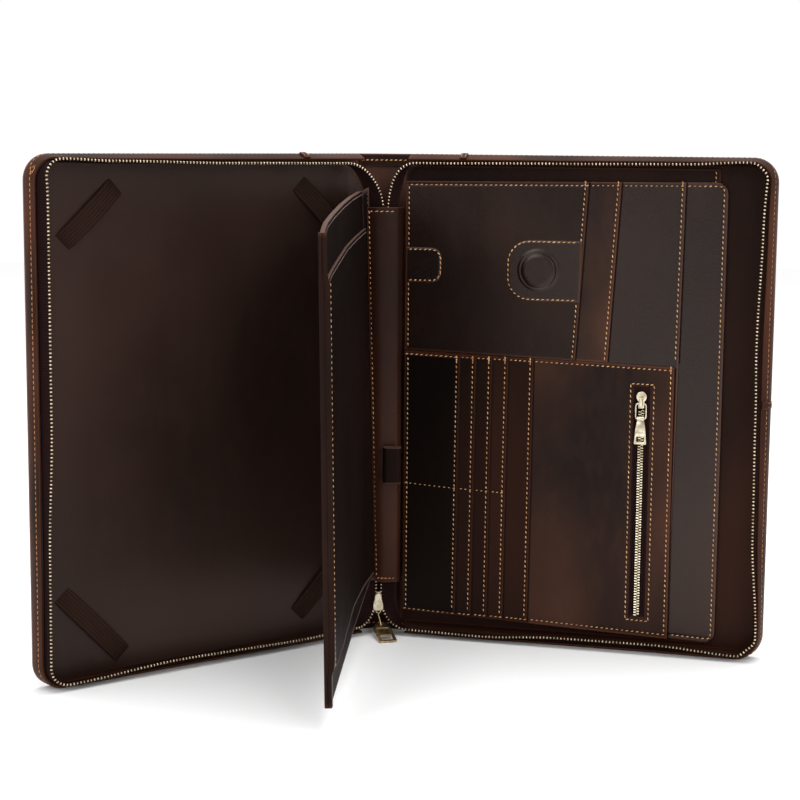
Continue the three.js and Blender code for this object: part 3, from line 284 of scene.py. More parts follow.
def leather(name, dark, middle, pale, edge, shine, gloss, stain=7.0):
    material, tree, shader = new_finish(name, gloss=gloss)
    stains = pattern(tree, NOISE, stain, detail=1.4, stretch=(1, 1, 0.7))
    base = ramp(tree, stains.outputs["Fac"], [(0.32, paint(dark)), (0.5, paint(middle)), (0.7, paint(pale))])
    rubs = pattern(tree, NOISE, 120.0, detail=4.0, stretch=(1, 1, 0.4))
    rub_share = ranged(tree, rubs.outputs["Fac"], 0.0, MOST_RUBBED, 0.45, 0.8)
    base = blended(tree, rub_share, base, paint(pale))
    wear_share = ranged(tree, attribute(tree, "wear_and_crest_light"), 0.0, MOST_WORN, 0.35, 1.0)
    base = blended(tree, wear_share, base, paint(edge))
    tree.links.new(base, shader.inputs["Base Color"])
    cells = pattern(tree, "ShaderNodeTexVoronoi", GRAIN_SCALE)
    fine = pattern(tree, NOISE, FINE_SCALE, detail=3.0)
    waves = pattern(tree, NOISE, 22.0, detail=1.0, stretch=(1, 1, 0.5))
    dull = pattern(tree, NOISE, 26.0, detail=4.0)
    roughness = ranged(tree, dull.outputs["Fac"], *shine, 0.3, 0.7)
    tree.links.new(roughness, shader.inputs["Roughness"])
    normal = bumped(tree, waves.outputs["Fac"], WAVE_DEPTH, 0.5)
    normal = bumped(tree, cells.outputs["Distance"], GRAIN_DEPTH, 0.7, normal)
    normal = bumped(tree, fine.outputs["Fac"], GRAIN_DEPTH * 0.5, 0.4, normal)
    tree.links.new(normal, shader.inputs["Normal"])
    return material


lining_leather = leather("lining_leather", (34, 23, 19), (45, 31, 26), (56, 39, 33),
                         (66, 42, 33), (0.3, 0.42), 0.22)
organiser_leather = leather("organiser_leather", (16, 9, 7), (27, 15, 11), (42, 25, 18),
                            (72, 41, 29), (0.22, 0.32), 0.38)
upper_leather = leather("upper_leather", (14, 8, 6), (27, 16, 12), (46, 29, 22),
                        (72, 41, 29), (0.24, 0.36), 0.2, stain=9.0)
brown_leather = leather("brown_leather", (20, 10, 7), (33, 17, 11), (48, 25, 17),
                        (64, 34, 23), (0.34, 0.48), 0.08)
band_leather = leather("band_leather", (25, 12, 8), (40, 20, 13), (57, 30, 20),
                       (76, 41, 28), (0.26, 0.4), 0.13)
waxed_leather = leather("waxed_leather", (20, 13, 11), (47, 28, 20), (76, 46, 34),
                        (86, 48, 33), (0.2, 0.34), 0.2, stain=13.0)
pocket_leather = leather("pocket_leather", (28, 19, 17), (48, 30, 23), (72, 45, 34),
                         (86, 48, 33), (0.26, 0.38), 0.1, stain=10.0)
leaf_leather = leather("leaf_leather", (13, 7, 6), (20, 12, 10), (30, 18, 14),
                       (92, 70, 62), (0.5, 0.62), 0.05)
edge_leather = leather("edge_leather", (30, 16, 10), (48, 26, 17), (68, 38, 26),
                       (72, 42, 29), (0.36, 0.52), 0.1, stain=16.0)
outer_leather = leather("outer_leather", (40, 22, 15), (58, 33, 23), (80, 48, 34),
                        (86, 50, 34), (0.34, 0.5), 0.22, stain=9.0)
print("leathers:", [m.name for m in bpy.data.materials if "leather" in m.name])

# %% [markdown]
# The tape and the corner straps are woven. Their threads follow the strip, so these finishes read the
# piece's own UV map, which every sheet gets in metres along and across. Both are paler where the attribute
# that each piece carries is high: wear near the tape's edges, and a painted highlight on the straps' rib
# crests.

# %% Woven finishes
def woven(name, dark, pale, along, across, depth, rough):
    material, tree, shader = new_finish(name, gloss=0.04)
    warp = pattern(tree, "ShaderNodeTexWave", 1.0, source="UV", stretch=(along, 0, 0))
    weft = pattern(tree, "ShaderNodeTexWave", 1.0, source="UV", stretch=(across, 0, 0),
                   turn=(0, 0, math.pi / 2))
    fuzz = pattern(tree, NOISE, 1500.0, detail=4.0)
    height = blended(tree, 0.5, warp.outputs["Color"], weft.outputs["Color"], "MULTIPLY")
    height = blended(tree, 0.35, height, fuzz.outputs["Fac"])
    base = ramp(tree, height, [(0.15, paint(dark)), (0.75, paint(pale))])
    # Near the tape's edges this lightening is wear; on the straps it is a painted highlight on the rib tops.
    crest = ranged(tree, attribute(tree, "wear_and_crest_light"), 0.0, 0.9)
    base = blended(tree, crest, base, blended(tree, 0.5, base, paint(pale), "ADD"))
    tree.links.new(base, shader.inputs["Base Color"])
    tree.links.new(ranged(tree, fuzz.outputs["Fac"], rough - 0.1, rough + 0.1), shader.inputs["Roughness"])
    tree.links.new(bumped(tree, height, depth, 0.8), shader.inputs["Normal"])
    return material


tape_weave = woven("tape_weave", (17, 9, 9), (42, 23, 23), 190.0, 120.0, 0.00015, 0.85)
elastic_weave = woven("elastic_weave", (6, 4, 3), (52, 35, 29), 330.0, 150.0, 0.0003, 0.8)
print("woven finishes:", tape_weave.name, "and", elastic_weave.name)

# %% [markdown]
# The thread is waxed and tan, a little uneven from stitch to stitch. The metal parts are antique brass and
# a paler nickel brass: bright where fingers rub them, brown in the hollows, with fine scratches.

# %% Thread and metal finishes
def thread(name, dark, pale):
    material, tree, shader = new_finish(name, sheen=0.15)
    tint = pattern(tree, NOISE, 130.0, detail=3.0)
    base = ramp(tree, tint.outputs["Fac"], [(0.3, paint(dark)), (0.7, paint(pale))])
    tree.links.new(base, shader.inputs["Base Color"])
    strands = pattern(tree, NOISE, 3500.0, detail=2.0)
    tree.links.new(ranged(tree, strands.outputs["Fac"], 0.5, 0.8), shader.inputs["Roughness"])
    tree.links.new(bumped(tree, strands.outputs["Fac"], 0.0001, 0.6), shader.inputs["Normal"])
    return material


def metal(name, dark, pale, rough):
    material, tree, shader = new_finish(name, metallic=1.0)
    age = pattern(tree, NOISE, 260.0, detail=6.0)
    base = ramp(tree, age.outputs["Fac"], [(0.32, paint(dark)), (0.6, paint(pale))])
    tree.links.new(base, shader.inputs["Base Color"])
    scratches = pattern(tree, NOISE, 900.0, detail=5.0, stretch=(1, 1, 0.12))
    roughness = ranged(tree, scratches.outputs["Fac"], rough - 0.08, rough + 0.14)
    tree.links.new(roughness, shader.inputs["Roughness"])
    tree.links.new(bumped(tree, scratches.outputs["Fac"], 0.00004, 0.5), shader.inputs["Normal"])
    return material


tan_thread = thread("tan_thread", (158, 108, 68), (220, 174, 124))
rust_thread = thread("rust_thread", (138, 82, 44), (186, 124, 72))
dusky_thread = thread("dusky_thread", (62, 45, 38), (98, 75, 65))
antique_brass = metal("antique_brass", (120, 98, 66), (196, 174, 134), 0.3)
pale_metal = metal("pale_metal", (182, 170, 142), (222, 213, 190), 0.24)
tooth_metal = metal("tooth_metal", (150, 132, 100), (228, 214, 182), 0.26)
print("metals:", antique_brass.name, pale_metal.name, tooth_metal.name)

# %% [markdown]
# Nearly every soft part is a sheet: a flat grid whose points are laid where the leather lies, then given
# its thickness and rounded rims. Laying the points in code is the exact way to follow the CAD surfaces.
# Solidify grows the sheet towards one side, and Bevel rounds the rim as a skived edge is rounded.

# %% Laying a sheet
MERGE_WITHIN = 0.01
RIM_ANGLE = math.radians(55)

def run_lengths(points):
    total = [0.0]
    for first, second in zip(points, points[1:]):
        total.append(total[-1] + (second - first).length)
    return total


def apply_modifier(piece, kind, **settings):
    modifier = piece.modifiers.new(kind.lower(), kind)
    for key, value in settings.items():
        setattr(modifier, key, value)
    bpy.ops.object.modifier_apply(modifier=modifier.name)


def pick(piece):
    clear_selection()
    piece.select_set(True)
    bpy.context.view_layer.objects.active = piece


def laid_sheet(name, rows, thickness, toward, rim=0.3, grow=1.0, closed=False, worn=0.9, smooth=42,
               cut=None, crest=None):
    clear_selection()
    last_i = len(rows[0]) - 1
    last_j = len(rows) - 1
    bpy.ops.mesh.primitive_grid_add(x_subdivisions=last_i, y_subdivisions=last_j, size=1)
    piece = bpy.context.object
    piece.name = name
    mesh = piece.data
    mesh.name = name
    along = run_lengths(rows[last_j // 2])
    across = run_lengths([row[last_i // 2] for row in rows])
    cells = [(round((v.co.x + 0.5) * last_i), round((v.co.y + 0.5) * last_j)) for v in mesh.vertices]
    wear_and_crest_light = mesh.attributes.new("wear_and_crest_light", "FLOAT", "POINT")
    for vertex, (i, j) in zip(mesh.vertices, cells):
        vertex.co = (rows[j][i] + SPINE_AT) * MM
        reach = [across[j], across[-1] - across[j]]
        if not closed:
            reach += [along[i], along[-1] - along[i]]
        # For the straps the attribute holds the rib crests instead of edge wear, and the woven finish paints
        # them lighter as a painted highlight.
        wear_and_crest_light.data[vertex.index].value = crest[j] if crest else math.exp(-(min(reach) / worn) ** 2)
    spread = mesh.uv_layers.active.data
    for loop in mesh.loops:
        i, j = cells[loop.vertex_index]
        spread[loop.index].uv = (along[i] * MM, across[j] * MM)
    mesh.update()
    if mesh.polygons[0].normal.dot(toward) < 0:
        mesh.flip_normals()
    if closed or cut:
        bpy.ops.object.mode_set(mode="EDIT")
        bpy.ops.mesh.select_all(action="SELECT")
        bpy.ops.mesh.remove_doubles(threshold=MERGE_WITHIN * MM)
        bpy.ops.object.mode_set(mode="OBJECT")
    if cut:
        bpy.ops.object.mode_set(mode="EDIT")
        bpy.ops.mesh.select_mode(type="FACE")
        bpy.ops.mesh.select_all(action="DESELECT")
        bpy.ops.object.mode_set(mode="OBJECT")
        for face in mesh.polygons:
            face.select = cut(face.center / MM - SPINE_AT)
        bpy.ops.object.mode_set(mode="EDIT")
        bpy.ops.mesh.delete(type="FACE")
        bpy.ops.mesh.select_mode(type="VERT")
        bpy.ops.object.mode_set(mode="OBJECT")
    if thickness:
        apply_modifier(piece, "SOLIDIFY", thickness=thickness * MM, offset=grow, use_even_offset=True)
        apply_modifier(piece, "BEVEL", width=rim * MM, segments=2, limit_method="ANGLE",
                       angle_limit=RIM_ANGLE)
    bpy.ops.object.shade_smooth_by_angle(angle=math.radians(smooth))
    return piece


def dress(piece, finish, slot_name=None, nodes=(), body=BODY):
    piece.data.materials.clear()
    piece.data.materials.append(finish)
    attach(piece, body)
    if nodes:
        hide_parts(*nodes)
    return piece


# %% [markdown]
# A stitch is one short fat grain of thread whose ends dive into the leather. It is modelled once, and each
# row of sewing is that stitch copied along a line, joined into one mesh. A stitch leans a few degrees off
# its line, as a machine's lockstitch does, and no two are quite the same length.

# %% One stitch and rows of sewing
STITCH_PITCH = 3.6
STITCH_LENGTH = 2.75
STITCH_WIDTH = 0.76
STITCH_FLAT = 0.8
STITCH_DIVE = 0.45
STITCH_LEAN = math.radians(13)
LEAN_RANGE = 0.05
SIZE_RANGE = (0.93, 1.04)
random.seed(11)

clear_selection()
bpy.ops.mesh.primitive_uv_sphere_add(segments=6, ring_count=6, radius=0.5, rotation=(0, math.pi / 2, 0))
bpy.ops.object.transform_apply(location=False, rotation=True, scale=False)
bpy.ops.object.mode_set(mode="EDIT")
bpy.ops.transform.resize(value=(STITCH_LENGTH, STITCH_WIDTH, STITCH_WIDTH * STITCH_FLAT))
bpy.ops.object.mode_set(mode="OBJECT")
stitch = bpy.context.object
for vertex in stitch.data.vertices:
    vertex.co.z -= STITCH_DIVE * (2 * vertex.co.x / STITCH_LENGTH) ** 2


def shape_of(piece):
    points = np.array([v.co[:] for v in piece.data.vertices])
    faces = [list(f.vertices) for f in piece.data.polygons]
    bpy.data.objects.remove(piece)
    return points, faces


def copies(name, shape, places, finish, slot_name=None, nodes=(), body=BODY, smooth=60):
    points, faces = shape
    all_points = []
    all_faces = []
    for place in places:
        start = len(all_points)
        turned_points = points @ np.array(place.to_3x3()).T + np.array(place.to_translation())
        all_points.extend((turned_points + np.array(SPINE_AT)) * MM)
        all_faces.extend([index + start for index in face] for face in faces)
    mesh = bpy.data.meshes.new(name)
    mesh.from_pydata([tuple(p) for p in all_points], [], all_faces)
    piece = bpy.data.objects.new(name, mesh)
    bpy.context.collection.objects.link(piece)
    pick(piece)
    bpy.ops.object.shade_smooth_by_angle(angle=math.radians(smooth))
    return dress(piece, finish, slot_name, nodes, body)


def stepped(points, pitch, closed=False):
    if closed:
        points = [*points, points[0]]
    run = run_lengths(points)
    count = max(1, round(run[-1] / pitch))
    steps = []
    k = 0
    for number in range(count):
        goal = run[-1] * (number + 0.5) / count
        while run[k + 1] < goal:
            k += 1
        share = (goal - run[k]) / (run[k + 1] - run[k])
        way = (points[k + 1] - points[k]).normalized()
        steps.append((k, share, points[k].lerp(points[k + 1], share), way))
    return steps


def frame_at(place, way, up):
    side = up.cross(way).normalized()
    top = way.cross(side).normalized()
    turned_axes = Matrix((way, side, top)).transposed().to_4x4()
    return Matrix.Translation(place) @ turned_axes


def sewn_row(points, up, pitch=STITCH_PITCH):
    rows = []
    for _, _, place, way in stepped(points, pitch):
        lean = Matrix.Rotation(STITCH_LEAN + random.uniform(-LEAN_RANGE, LEAN_RANGE), 4, "Z")
        size = Matrix.Diagonal((random.uniform(*SIZE_RANGE), 1, 1, 1))
        rows.append(frame_at(place, way, up) @ lean @ size)
    return rows


stitch_shape = shape_of(stitch)
print("one stitch has", len(stitch_shape[1]), "faces")

# %% [markdown]
# The flat pieces of a cover share one small helper. A panel knows its four corners and its depth, lays
# its grid close to the rims and wide in the middle, rounds its corners, and presses a shallow groove where
# it is sewn. All pockets of a cover share one slow swell, so that stacked layers nest and never cross.

# %% Panels on a cover
GROOVE = 0.22
GROOVE_WIDTH = 0.8
SEW_LIFT = 0.12
SEW_STEP = 2.0
PANEL_WORN = 1.5
SWELL = {"left": 0.45, "right": 0.3}
SLOW_SHARE = 0.7


def swell(cover, u, z):
    slow = math.sin(u * 0.031 + 1.3) * math.sin(z * 0.024 + 0.4)
    quick = math.sin(u * 0.052 + z * 0.037)
    return SWELL[cover["name"]] * (SLOW_SHARE * slow + 0.3 * quick)


def marks(length, close, step):
    count = max(1, round((length - 2 * close[-1]) / step))
    middle = [mix(close[-1], length - close[-1], k / count) for k in range(count + 1)]
    return [*close[:-1], *middle, *[length - d for d in reversed(close[:-1])]]


def walked(corners, place, step=SEW_STEP):
    points = []
    for (x0, y0), (x1, y1) in zip(corners, corners[1:]):
        count = max(1, round(math.hypot(x1 - x0, y1 - y0) / step))
        points += [place(mix(x0, x1, k / count), mix(y0, y1, k / count)) for k in range(count)]
    return [*points, place(*corners[-1])]


class Panel:
    """A flat sheet of leather on a cover, measured from its own lower left corner."""

    def __init__(self, cover, corners, depth, thickness, radii=(0, 0, 0, 0), sewn="", inset=2.4, flat=False):
        self.cover = cover
        self.corners = corners
        self.depth = depth
        self.thickness = thickness
        self.radii = radii
        self.sewn = sewn
        self.inset = inset
        self.flat = flat
        low_left, low_right, top_right, top_left = corners
        self.wide = (low_right[0] - low_left[0] + top_right[0] - top_left[0]) / 2
        self.tall = (top_left[1] - low_left[1] + top_right[1] - low_right[1]) / 2

    def rounded(self, x, y):
        for number, r in enumerate(self.radii):
            at_right = number in (1, 2)
            at_top = number in (2, 3)
            if r == 0:
                continue
            a = (r - (self.wide - x if at_right else x)) / r
            b = (r - (self.tall - y if at_top else y)) / r
            if a > 0 and b > 0:
                a, b = a * math.sqrt(1 - b * b / 2), b * math.sqrt(1 - a * a / 2)
                x = self.wide - r * (1 - a) if at_right else r * (1 - a)
                y = self.tall - r * (1 - b) if at_top else r * (1 - b)
                return x, y
        return x, y

    def groove(self, x, y):
        gaps = {"l": x, "r": self.wide - x, "b": y, "t": self.tall - y}
        dip = 0.0
        for side in self.sewn:
            dip = max(dip, math.exp(-((gaps[side] - self.inset) / GROOVE_WIDTH) ** 2))
        return GROOVE * dip

    def place(self, x, y):
        x, y = self.rounded(x, y)
        s = x / self.wide
        t = y / self.tall
        low_left, low_right, top_right, top_left = self.corners
        u = mix(mix(low_left[0], low_right[0], s), mix(top_left[0], top_right[0], s), t)
        z = mix(mix(low_left[1], low_right[1], s), mix(top_left[1], top_right[1], s), t)
        return u, z

    def at(self, x, y, lift=0.0):
        u, z = self.place(x, y)
        rise = 0.0 if self.flat else swell(self.cover, u, z)
        return spot(self.cover, u, self.depth + lift + rise - self.groove(x, y), z)

    def front(self, x, y):
        return self.at(x, y, self.thickness + SEW_LIFT)

    def made(self, name, finish, slot_name, nodes, step=11, rim=0.3, cut=None, extra=(), lift=None):
        close = [0, 0.7, self.inset - 0.8, self.inset, self.inset + 0.8]
        reach = max(max(self.radii), self.inset + 3)
        close += [mix(self.inset + 0.8, reach, k / 4) for k in (1, 2, 3, 4)]
        xs = marks(self.wide, close, step)
        ys = marks(self.tall, close, step)
        for axis, value in extra:
            target = xs if axis == "x" else ys
            target.append(value)
            target.sort()
        rise = lift or (lambda x, y: 0.0)
        rows = [[self.at(x, y, rise(x, y)) for x in xs] for y in ys]
        piece = laid_sheet(name, rows, self.thickness, inward(self.cover), rim=rim, cut=cut, worn=PANEL_WORN)
        return dress(piece, finish, slot_name, nodes)

    def sew(self, corners):
        return sewn_row(walked(corners, self.front), inward(self.cover))


# %% [markdown]
# Each cover is one hide of leather over a board, with a round outer corner. The spine panel is a second
# hide that wraps the fold and laps over both covers, sewn down with two rows at each end.

# %% Covers
COVER_LEATHER = 2.0
GAP = 0.3
COVER_SEW = 4
COVER_SEW_SIDE = COVER_WIDTH - 4.3
COVER_SEW_START = 55
for cover in (left, right):
    corners = [(GAP, 0), (COVER_WIDTH, 0), (COVER_WIDTH, COVER_HEIGHT), (GAP, COVER_HEIGHT)]
    radii = (0, COVER_CORNER, COVER_CORNER, 0)
    name = cover["name"] + "_cover"
    hide = Panel(cover, corners, 0, COVER_LEATHER, radii, inset=COVER_SEW, flat=True)
    hide.made(name + "_hide", outer_leather, "leather", [name], step=13, rim=0.7)
    back = Panel(cover, corners, -SEW_LIFT, 0, radii, inset=COVER_SEW, flat=True)
    line = [(COVER_SEW_START, COVER_SEW), (COVER_SEW_SIDE, COVER_SEW),
            (COVER_SEW_SIDE, COVER_HEIGHT - COVER_SEW), (COVER_SEW_START, COVER_HEIGHT - COVER_SEW)]
    points = walked(line, back.at)[:-1]
    copies(name + "_stitches", stitch_shape, sewn_row(points, -inward(cover)), rust_thread)
print("covers made")

# %% [markdown]
# The spine is a curve between the two covers. The same curve carries the outer panel and the two narrow
# hems that close the portfolio's top and bottom inside the fold.

# %% Spine panel and hems
SPINE_BULGE = 6
SPINE_LEATHER = 1.8
LEFT_OVERLAP = 55
RIGHT_OVERLAP = 46
HEM_HEIGHT = 9
HEM_EDGE = 0.5
HEM_LEATHER = 1.2
HEM_END = 4.5
SPINE_OUTER = -(SPINE_LEATHER + GAP)


def bezier(a, b, c, d, t):
    r = 1 - t
    return a * r ** 3 + b * 3 * r * r * t + c * 3 * r * t * t + d * t ** 3


def spine_path(offset, left_end, right_end, wall_steps, fold_steps):
    a = spot(left, 0, offset, 0)
    d = spot(right, 0, offset, 0)
    reach = SPINE_HALF * 0.75
    b = a - outward_u(left) * reach
    c = d - outward_u(right) * reach
    b.y = min(b.y, SPINE_BULGE - offset)
    c.y = min(c.y, SPINE_BULGE - offset)
    wall = [spot(left, mix(left_end, 0, k / wall_steps), offset, 0) for k in range(wall_steps)]
    fold = [bezier(a, b, c, d, k / fold_steps) for k in range(fold_steps + 1)]
    other = [spot(right, mix(0, right_end, k / wall_steps), offset, 0) for k in range(1, wall_steps + 1)]
    return wall + fold + other


def standing_rows(path, heights):
    return [[Vector((p.x, p.y, z)) for p in path] for z in heights]


spine_path_outer = spine_path(SPINE_OUTER + SPINE_LEATHER, LEFT_OVERLAP, RIGHT_OVERLAP, 8, 16)
spine_heights = marks(COVER_HEIGHT, [0, 0.8, 1.8, 3.0, 6.0], 20)
back_way = Vector((0, 1, 0))
spine_hide = laid_sheet("spine_hide", standing_rows(spine_path_outer, spine_heights), SPINE_LEATHER,
                        back_way, rim=0.6)
dress(spine_hide, outer_leather, "leather", ["spine_back"])
for end, low in (("top", COVER_HEIGHT - HEM_HEIGHT), ("bottom", HEM_EDGE)):
    path = spine_path(COVER_LEATHER + GAP, HEM_END, HEM_END, 2, 14)
    tall = HEM_HEIGHT - HEM_EDGE
    heights = [low + d for d in (0, 0.6, 1.6, 2.6, tall / 2, tall - 2.6, tall - 1.6, tall - 0.6, tall)]
    hem = laid_sheet("spine_" + end + "_fold", standing_rows(path, heights), HEM_LEATHER, -back_way, rim=0.4)
    dress(hem, brown_leather, "edge_leather", ["spine_" + end + "_hem"])
print("spine made")

# %% [markdown]
# The spine panel is sewn with tan thread: two rows down each lapped end on the outside, and one row along
# each hem on the inside.

# %% Spine sewing
spine_rows = []
for cover, end in ((left, LEFT_OVERLAP), (right, RIGHT_OVERLAP)):
    for inset in (2.6, 6.4):
        heights = np.linspace(2, COVER_HEIGHT - 2, 120)
        row = [spot(cover, end - inset, SPINE_OUTER - SEW_LIFT, z) for z in heights]
        spine_rows += sewn_row(row, -inward(cover))
copies("spine_panel_stitches", stitch_shape, spine_rows, rust_thread)
HEM_SEW = 4.6
HEM_FACE = COVER_LEATHER + GAP + HEM_LEATHER + SEW_LIFT
hem_rows = []
for z in (COVER_HEIGHT - HEM_SEW, HEM_SEW):
    row = [Vector((p.x, p.y, z)) for p in spine_path(HEM_FACE, 3.5, 3.5, 2, 16)]
    hem_rows += sewn_row(row, -back_way)
copies("spine_hem_stitches", stitch_shape, hem_rows, tan_thread)
print("spine sewn with", len(spine_rows) + len(hem_rows), "stitches")

# %% [markdown]
# A soft leather strip runs round three sides of each cover and holds the zip. It stands on the cover's rim
# and leans in by a different amount along its length, which is what makes the outline of the real thing
# look hand made. The tables hold the lean, and how far in the zip's teeth stand.

# %% Edge strips
STRIP_DEPTH = 11.5
STRIP_LEATHER = 1.8
STRIP_START = 6
COVER_BACK = COVER_LEATHER + GAP
CORNER_SHARE = 0.07
TAPE = 0.9
TAPE_DEPTH = 9.3
CHAIN_DEPTH = 21.5

# Each row: how far round the cover (0 to 3), the strip's lean, and how far in the teeth stand.
left["edge"] = [
    (0.0, 0, 0.353), (0.2, 0, 0.298), (0.6, 0, 0.386), (0.93, 0, 0.223), (1.07, 0.139, 0.172),
    (1.27, 0.191, 0.195), (1.5, 0.226, 0.326), (1.9, 0.209, 0.335), (2.07, 0.174, 0.14),
    (2.23, 0.261, 0.214), (2.6, 0.296, 0.293), (3.0, 0.296, 0.312),
]
right["edge"] = [
    (0.0, 0, 0.26), (0.2, 0, 0.223), (0.45, 0, 0.381), (0.7, 0, 0.4), (0.93, 0, 0.242),
    (1.0, 0.174, 0.326), (1.08, 0.226, 0.177), (1.27, 0.435, 0.381), (1.5, 0.504, 0.419),
    (1.63, 0.522, 0.465), (1.85, 0.435, 0.372), (2.0, 0.296, 0.242), (2.08, 0.209, 0.149),
    (2.25, 0.261, 0.228), (2.6, 0.296, 0.26), (3.0, 0.296, 0.293),
]


def from_table(rows, at, column):
    for low, high in zip(rows, rows[1:]):
        if at <= high[0]:
            return mix(low[column], high[column], soft((at - low[0]) / (high[0] - low[0])))
    return rows[-1][column]


def edge_stations(bottom_start, top_start, straight, corner):
    centre = COVER_WIDTH - COVER_CORNER
    run = 1 - CORNER_SHARE
    stations = []
    for k in range(straight):
        t = k / straight
        stations.append((mix(bottom_start, centre, t), 0, 0, -1, t * run))
    for k in range(corner + 1):
        turn = math.pi / 2 * k / corner
        stations.append((centre + COVER_CORNER * math.sin(turn), COVER_CORNER * (1 - math.cos(turn)),
                         math.sin(turn), -math.cos(turn), run + 2 * CORNER_SHARE * k / corner))
    for k in range(1, straight):
        t = k / straight
        z = mix(COVER_CORNER, COVER_HEIGHT - COVER_CORNER, t)
        stations.append((COVER_WIDTH, z, 1, 0, 1 + CORNER_SHARE + (1 - 2 * CORNER_SHARE) * t))
    for k in range(corner + 1):
        turn = math.pi / 2 * k / corner
        z = COVER_HEIGHT - COVER_CORNER * (1 - math.sin(turn))
        stations.append((centre + COVER_CORNER * math.cos(turn), z, math.cos(turn), math.sin(turn),
                         1 + run + 2 * CORNER_SHARE * k / corner))
    for k in range(1, straight + 1):
        t = k / straight
        stations.append((mix(centre, top_start, t), COVER_HEIGHT, 0, 1, 2 + CORNER_SHARE + run * t))
    return stations


def strip_inset(lean, depth):
    t = min(1, max(0, (depth - COVER_BACK) / (STRIP_DEPTH - COVER_BACK)))
    return lean * t * t


def edge_spot(cover, station, inset, depth):
    u, z, out_u, out_z, _ = station
    return spot(cover, u - out_u * inset, depth, z - out_z * inset)


def way_out(cover, station):
    return edge_spot(cover, station, -1, 0) - edge_spot(cover, station, 0, 0)


strip_depths = [COVER_BACK + d for d in (0, 0.7, 2.0, 3.6, 5.0, 5.8, 6.6, 7.4, 8.4, 9.2)]
STRIP_SEW = COVER_BACK + 5.9
TOP_SEW_FROM = 1.95
TOP_SEW_RUN = 0.06
for cover in (left, right):
    stations = edge_stations(STRIP_START, STRIP_START, 44, 10)
    rows = []
    for depth in strip_depths:
        dip = GROOVE * math.exp(-((depth - STRIP_SEW) / GROOVE_WIDTH) ** 2)
        row = []
        for station in stations:
            lean = from_table(cover["edge"], station[4], 1) * STRIP_DEPTH
            row.append(edge_spot(cover, station, strip_inset(lean, depth) + dip, depth))
        rows.append(row)
    first_out = way_out(cover, stations[0])
    name = cover["name"] + "_edge_strip"
    strip = laid_sheet(name + "_leather", rows, STRIP_LEATHER, -first_out, rim=0.5)
    dress(strip, edge_leather, "edge_leather", [name])
    row = []
    sewn = []
    for station in edge_stations(STRIP_START + 3, STRIP_START + 3, 60, 14):
        lean = from_table(cover["edge"], station[4], 1) * STRIP_DEPTH
        on_top = soft((station[4] - TOP_SEW_FROM) / TOP_SEW_RUN)
        depth = mix(STRIP_SEW, COVER_BACK + 1.6, on_top)
        row.append(edge_spot(cover, station, strip_inset(lean, depth) - 0.1, depth))
        sewn.append(way_out(cover, station))
    places = []
    for k, share, place, way in stepped(row, STITCH_PITCH):
        places.append(frame_at(place, way, sewn[k].lerp(sewn[min(k + 1, len(sewn) - 1)], share)))
    copies(name + "_stitches", stitch_shape, places, rust_thread)

print("edge strips made")

# %% [markdown]
# The left cover's side row is tied off just below its top corner. The end of the thread stands up there in
# a small tangle, which is two open rings of thin stitches, one a little above the other.

# %% Tangle of thread
KNOT_SHARE = 2 - CORNER_SHARE * 0.4
KNOT_ROOM = 2.5
KNOT_RISE = 0.2
KNOT_STITCHES = 6
KNOT_RINGS = ((1.1, 0.75, 0.0), (0.7, 0.9, 0.5))
KNOT_THREAD = Matrix.Diagonal((0.9, 0.62, 0.9, 1))
knot_depth = STRIP_SEW + 1.0
knot_inset = strip_inset(from_table(left["edge"], KNOT_SHARE, 1) * STRIP_DEPTH, knot_depth) - 0.3
knot_stations = edge_stations(STRIP_START, STRIP_START, 60, 24)
near = min(range(len(knot_stations)), key=lambda k: abs(knot_stations[k][4] - KNOT_SHARE))
middle = edge_spot(left, knot_stations[near], knot_inset, knot_depth)
after = edge_spot(left, knot_stations[near + 1], knot_inset, knot_depth)
up = way_out(left, knot_stations[near]).normalized()
along = (after - middle).normalized()
over = up.cross(along)
places = []
for ring, (wide, tall, tilt) in enumerate(KNOT_RINGS):
    for k in range(KNOT_STITCHES):
        turn = tilt + 2 * math.pi * k / KNOT_STITCHES
        out = along * math.cos(turn) * wide + over * math.sin(turn) * tall
        way = over * math.cos(turn) * tall - along * math.sin(turn) * wide
        place = middle + out * KNOT_ROOM + up * KNOT_RISE * ring
        places.append(frame_at(place, way.normalized(), up) @ KNOT_THREAD)
copies("left_edge_thread_knot", stitch_shape, places, rust_thread)
print("tangle has", len(places), "stitches")

# %% [markdown]
# Where the strip's ends meet, a narrow tab of leather covers the join: one on each top wall beside the
# spine panel, and one half way up the right cover.

# %% Tabs over the joins
TAB_WIDTH = 5
TAB_LEATHER = 0.9
TAB_GAP = 0.5
TAB_LINES = (-0.5, -0.38, -0.2, 0, 0.2, 0.38, 0.5)
TAB_SEW_LINES = (-0.3, 0.3)
TAB_PITCH = 2.2
SIDE_JOIN = 181
top_run = COVER_WIDTH - COVER_CORNER
side_run = COVER_HEIGHT - 2 * COVER_CORNER
joins = []
for cover, end in ((left, LEFT_OVERLAP), (right, RIGHT_OVERLAP)):
    at = 2 + CORNER_SHARE + (1 - CORNER_SHARE) * (top_run - end) / (top_run - STRIP_START)
    joins.append((cover, cover["name"] + "_top_seam_tab", end, COVER_HEIGHT, 0, 1, at))
side_at = 1 + CORNER_SHARE + (1 - 2 * CORNER_SHARE) * (SIDE_JOIN - COVER_CORNER) / side_run
joins.append((right, "right_side_seam_tab", COVER_WIDTH, SIDE_JOIN, 1, 0, side_at))


def join_station(join, share):
    _, _, u, z, out_u, out_z, at = join
    shift = share * TAB_WIDTH
    return u - out_z * shift, z + out_u * shift, out_u, out_z, at


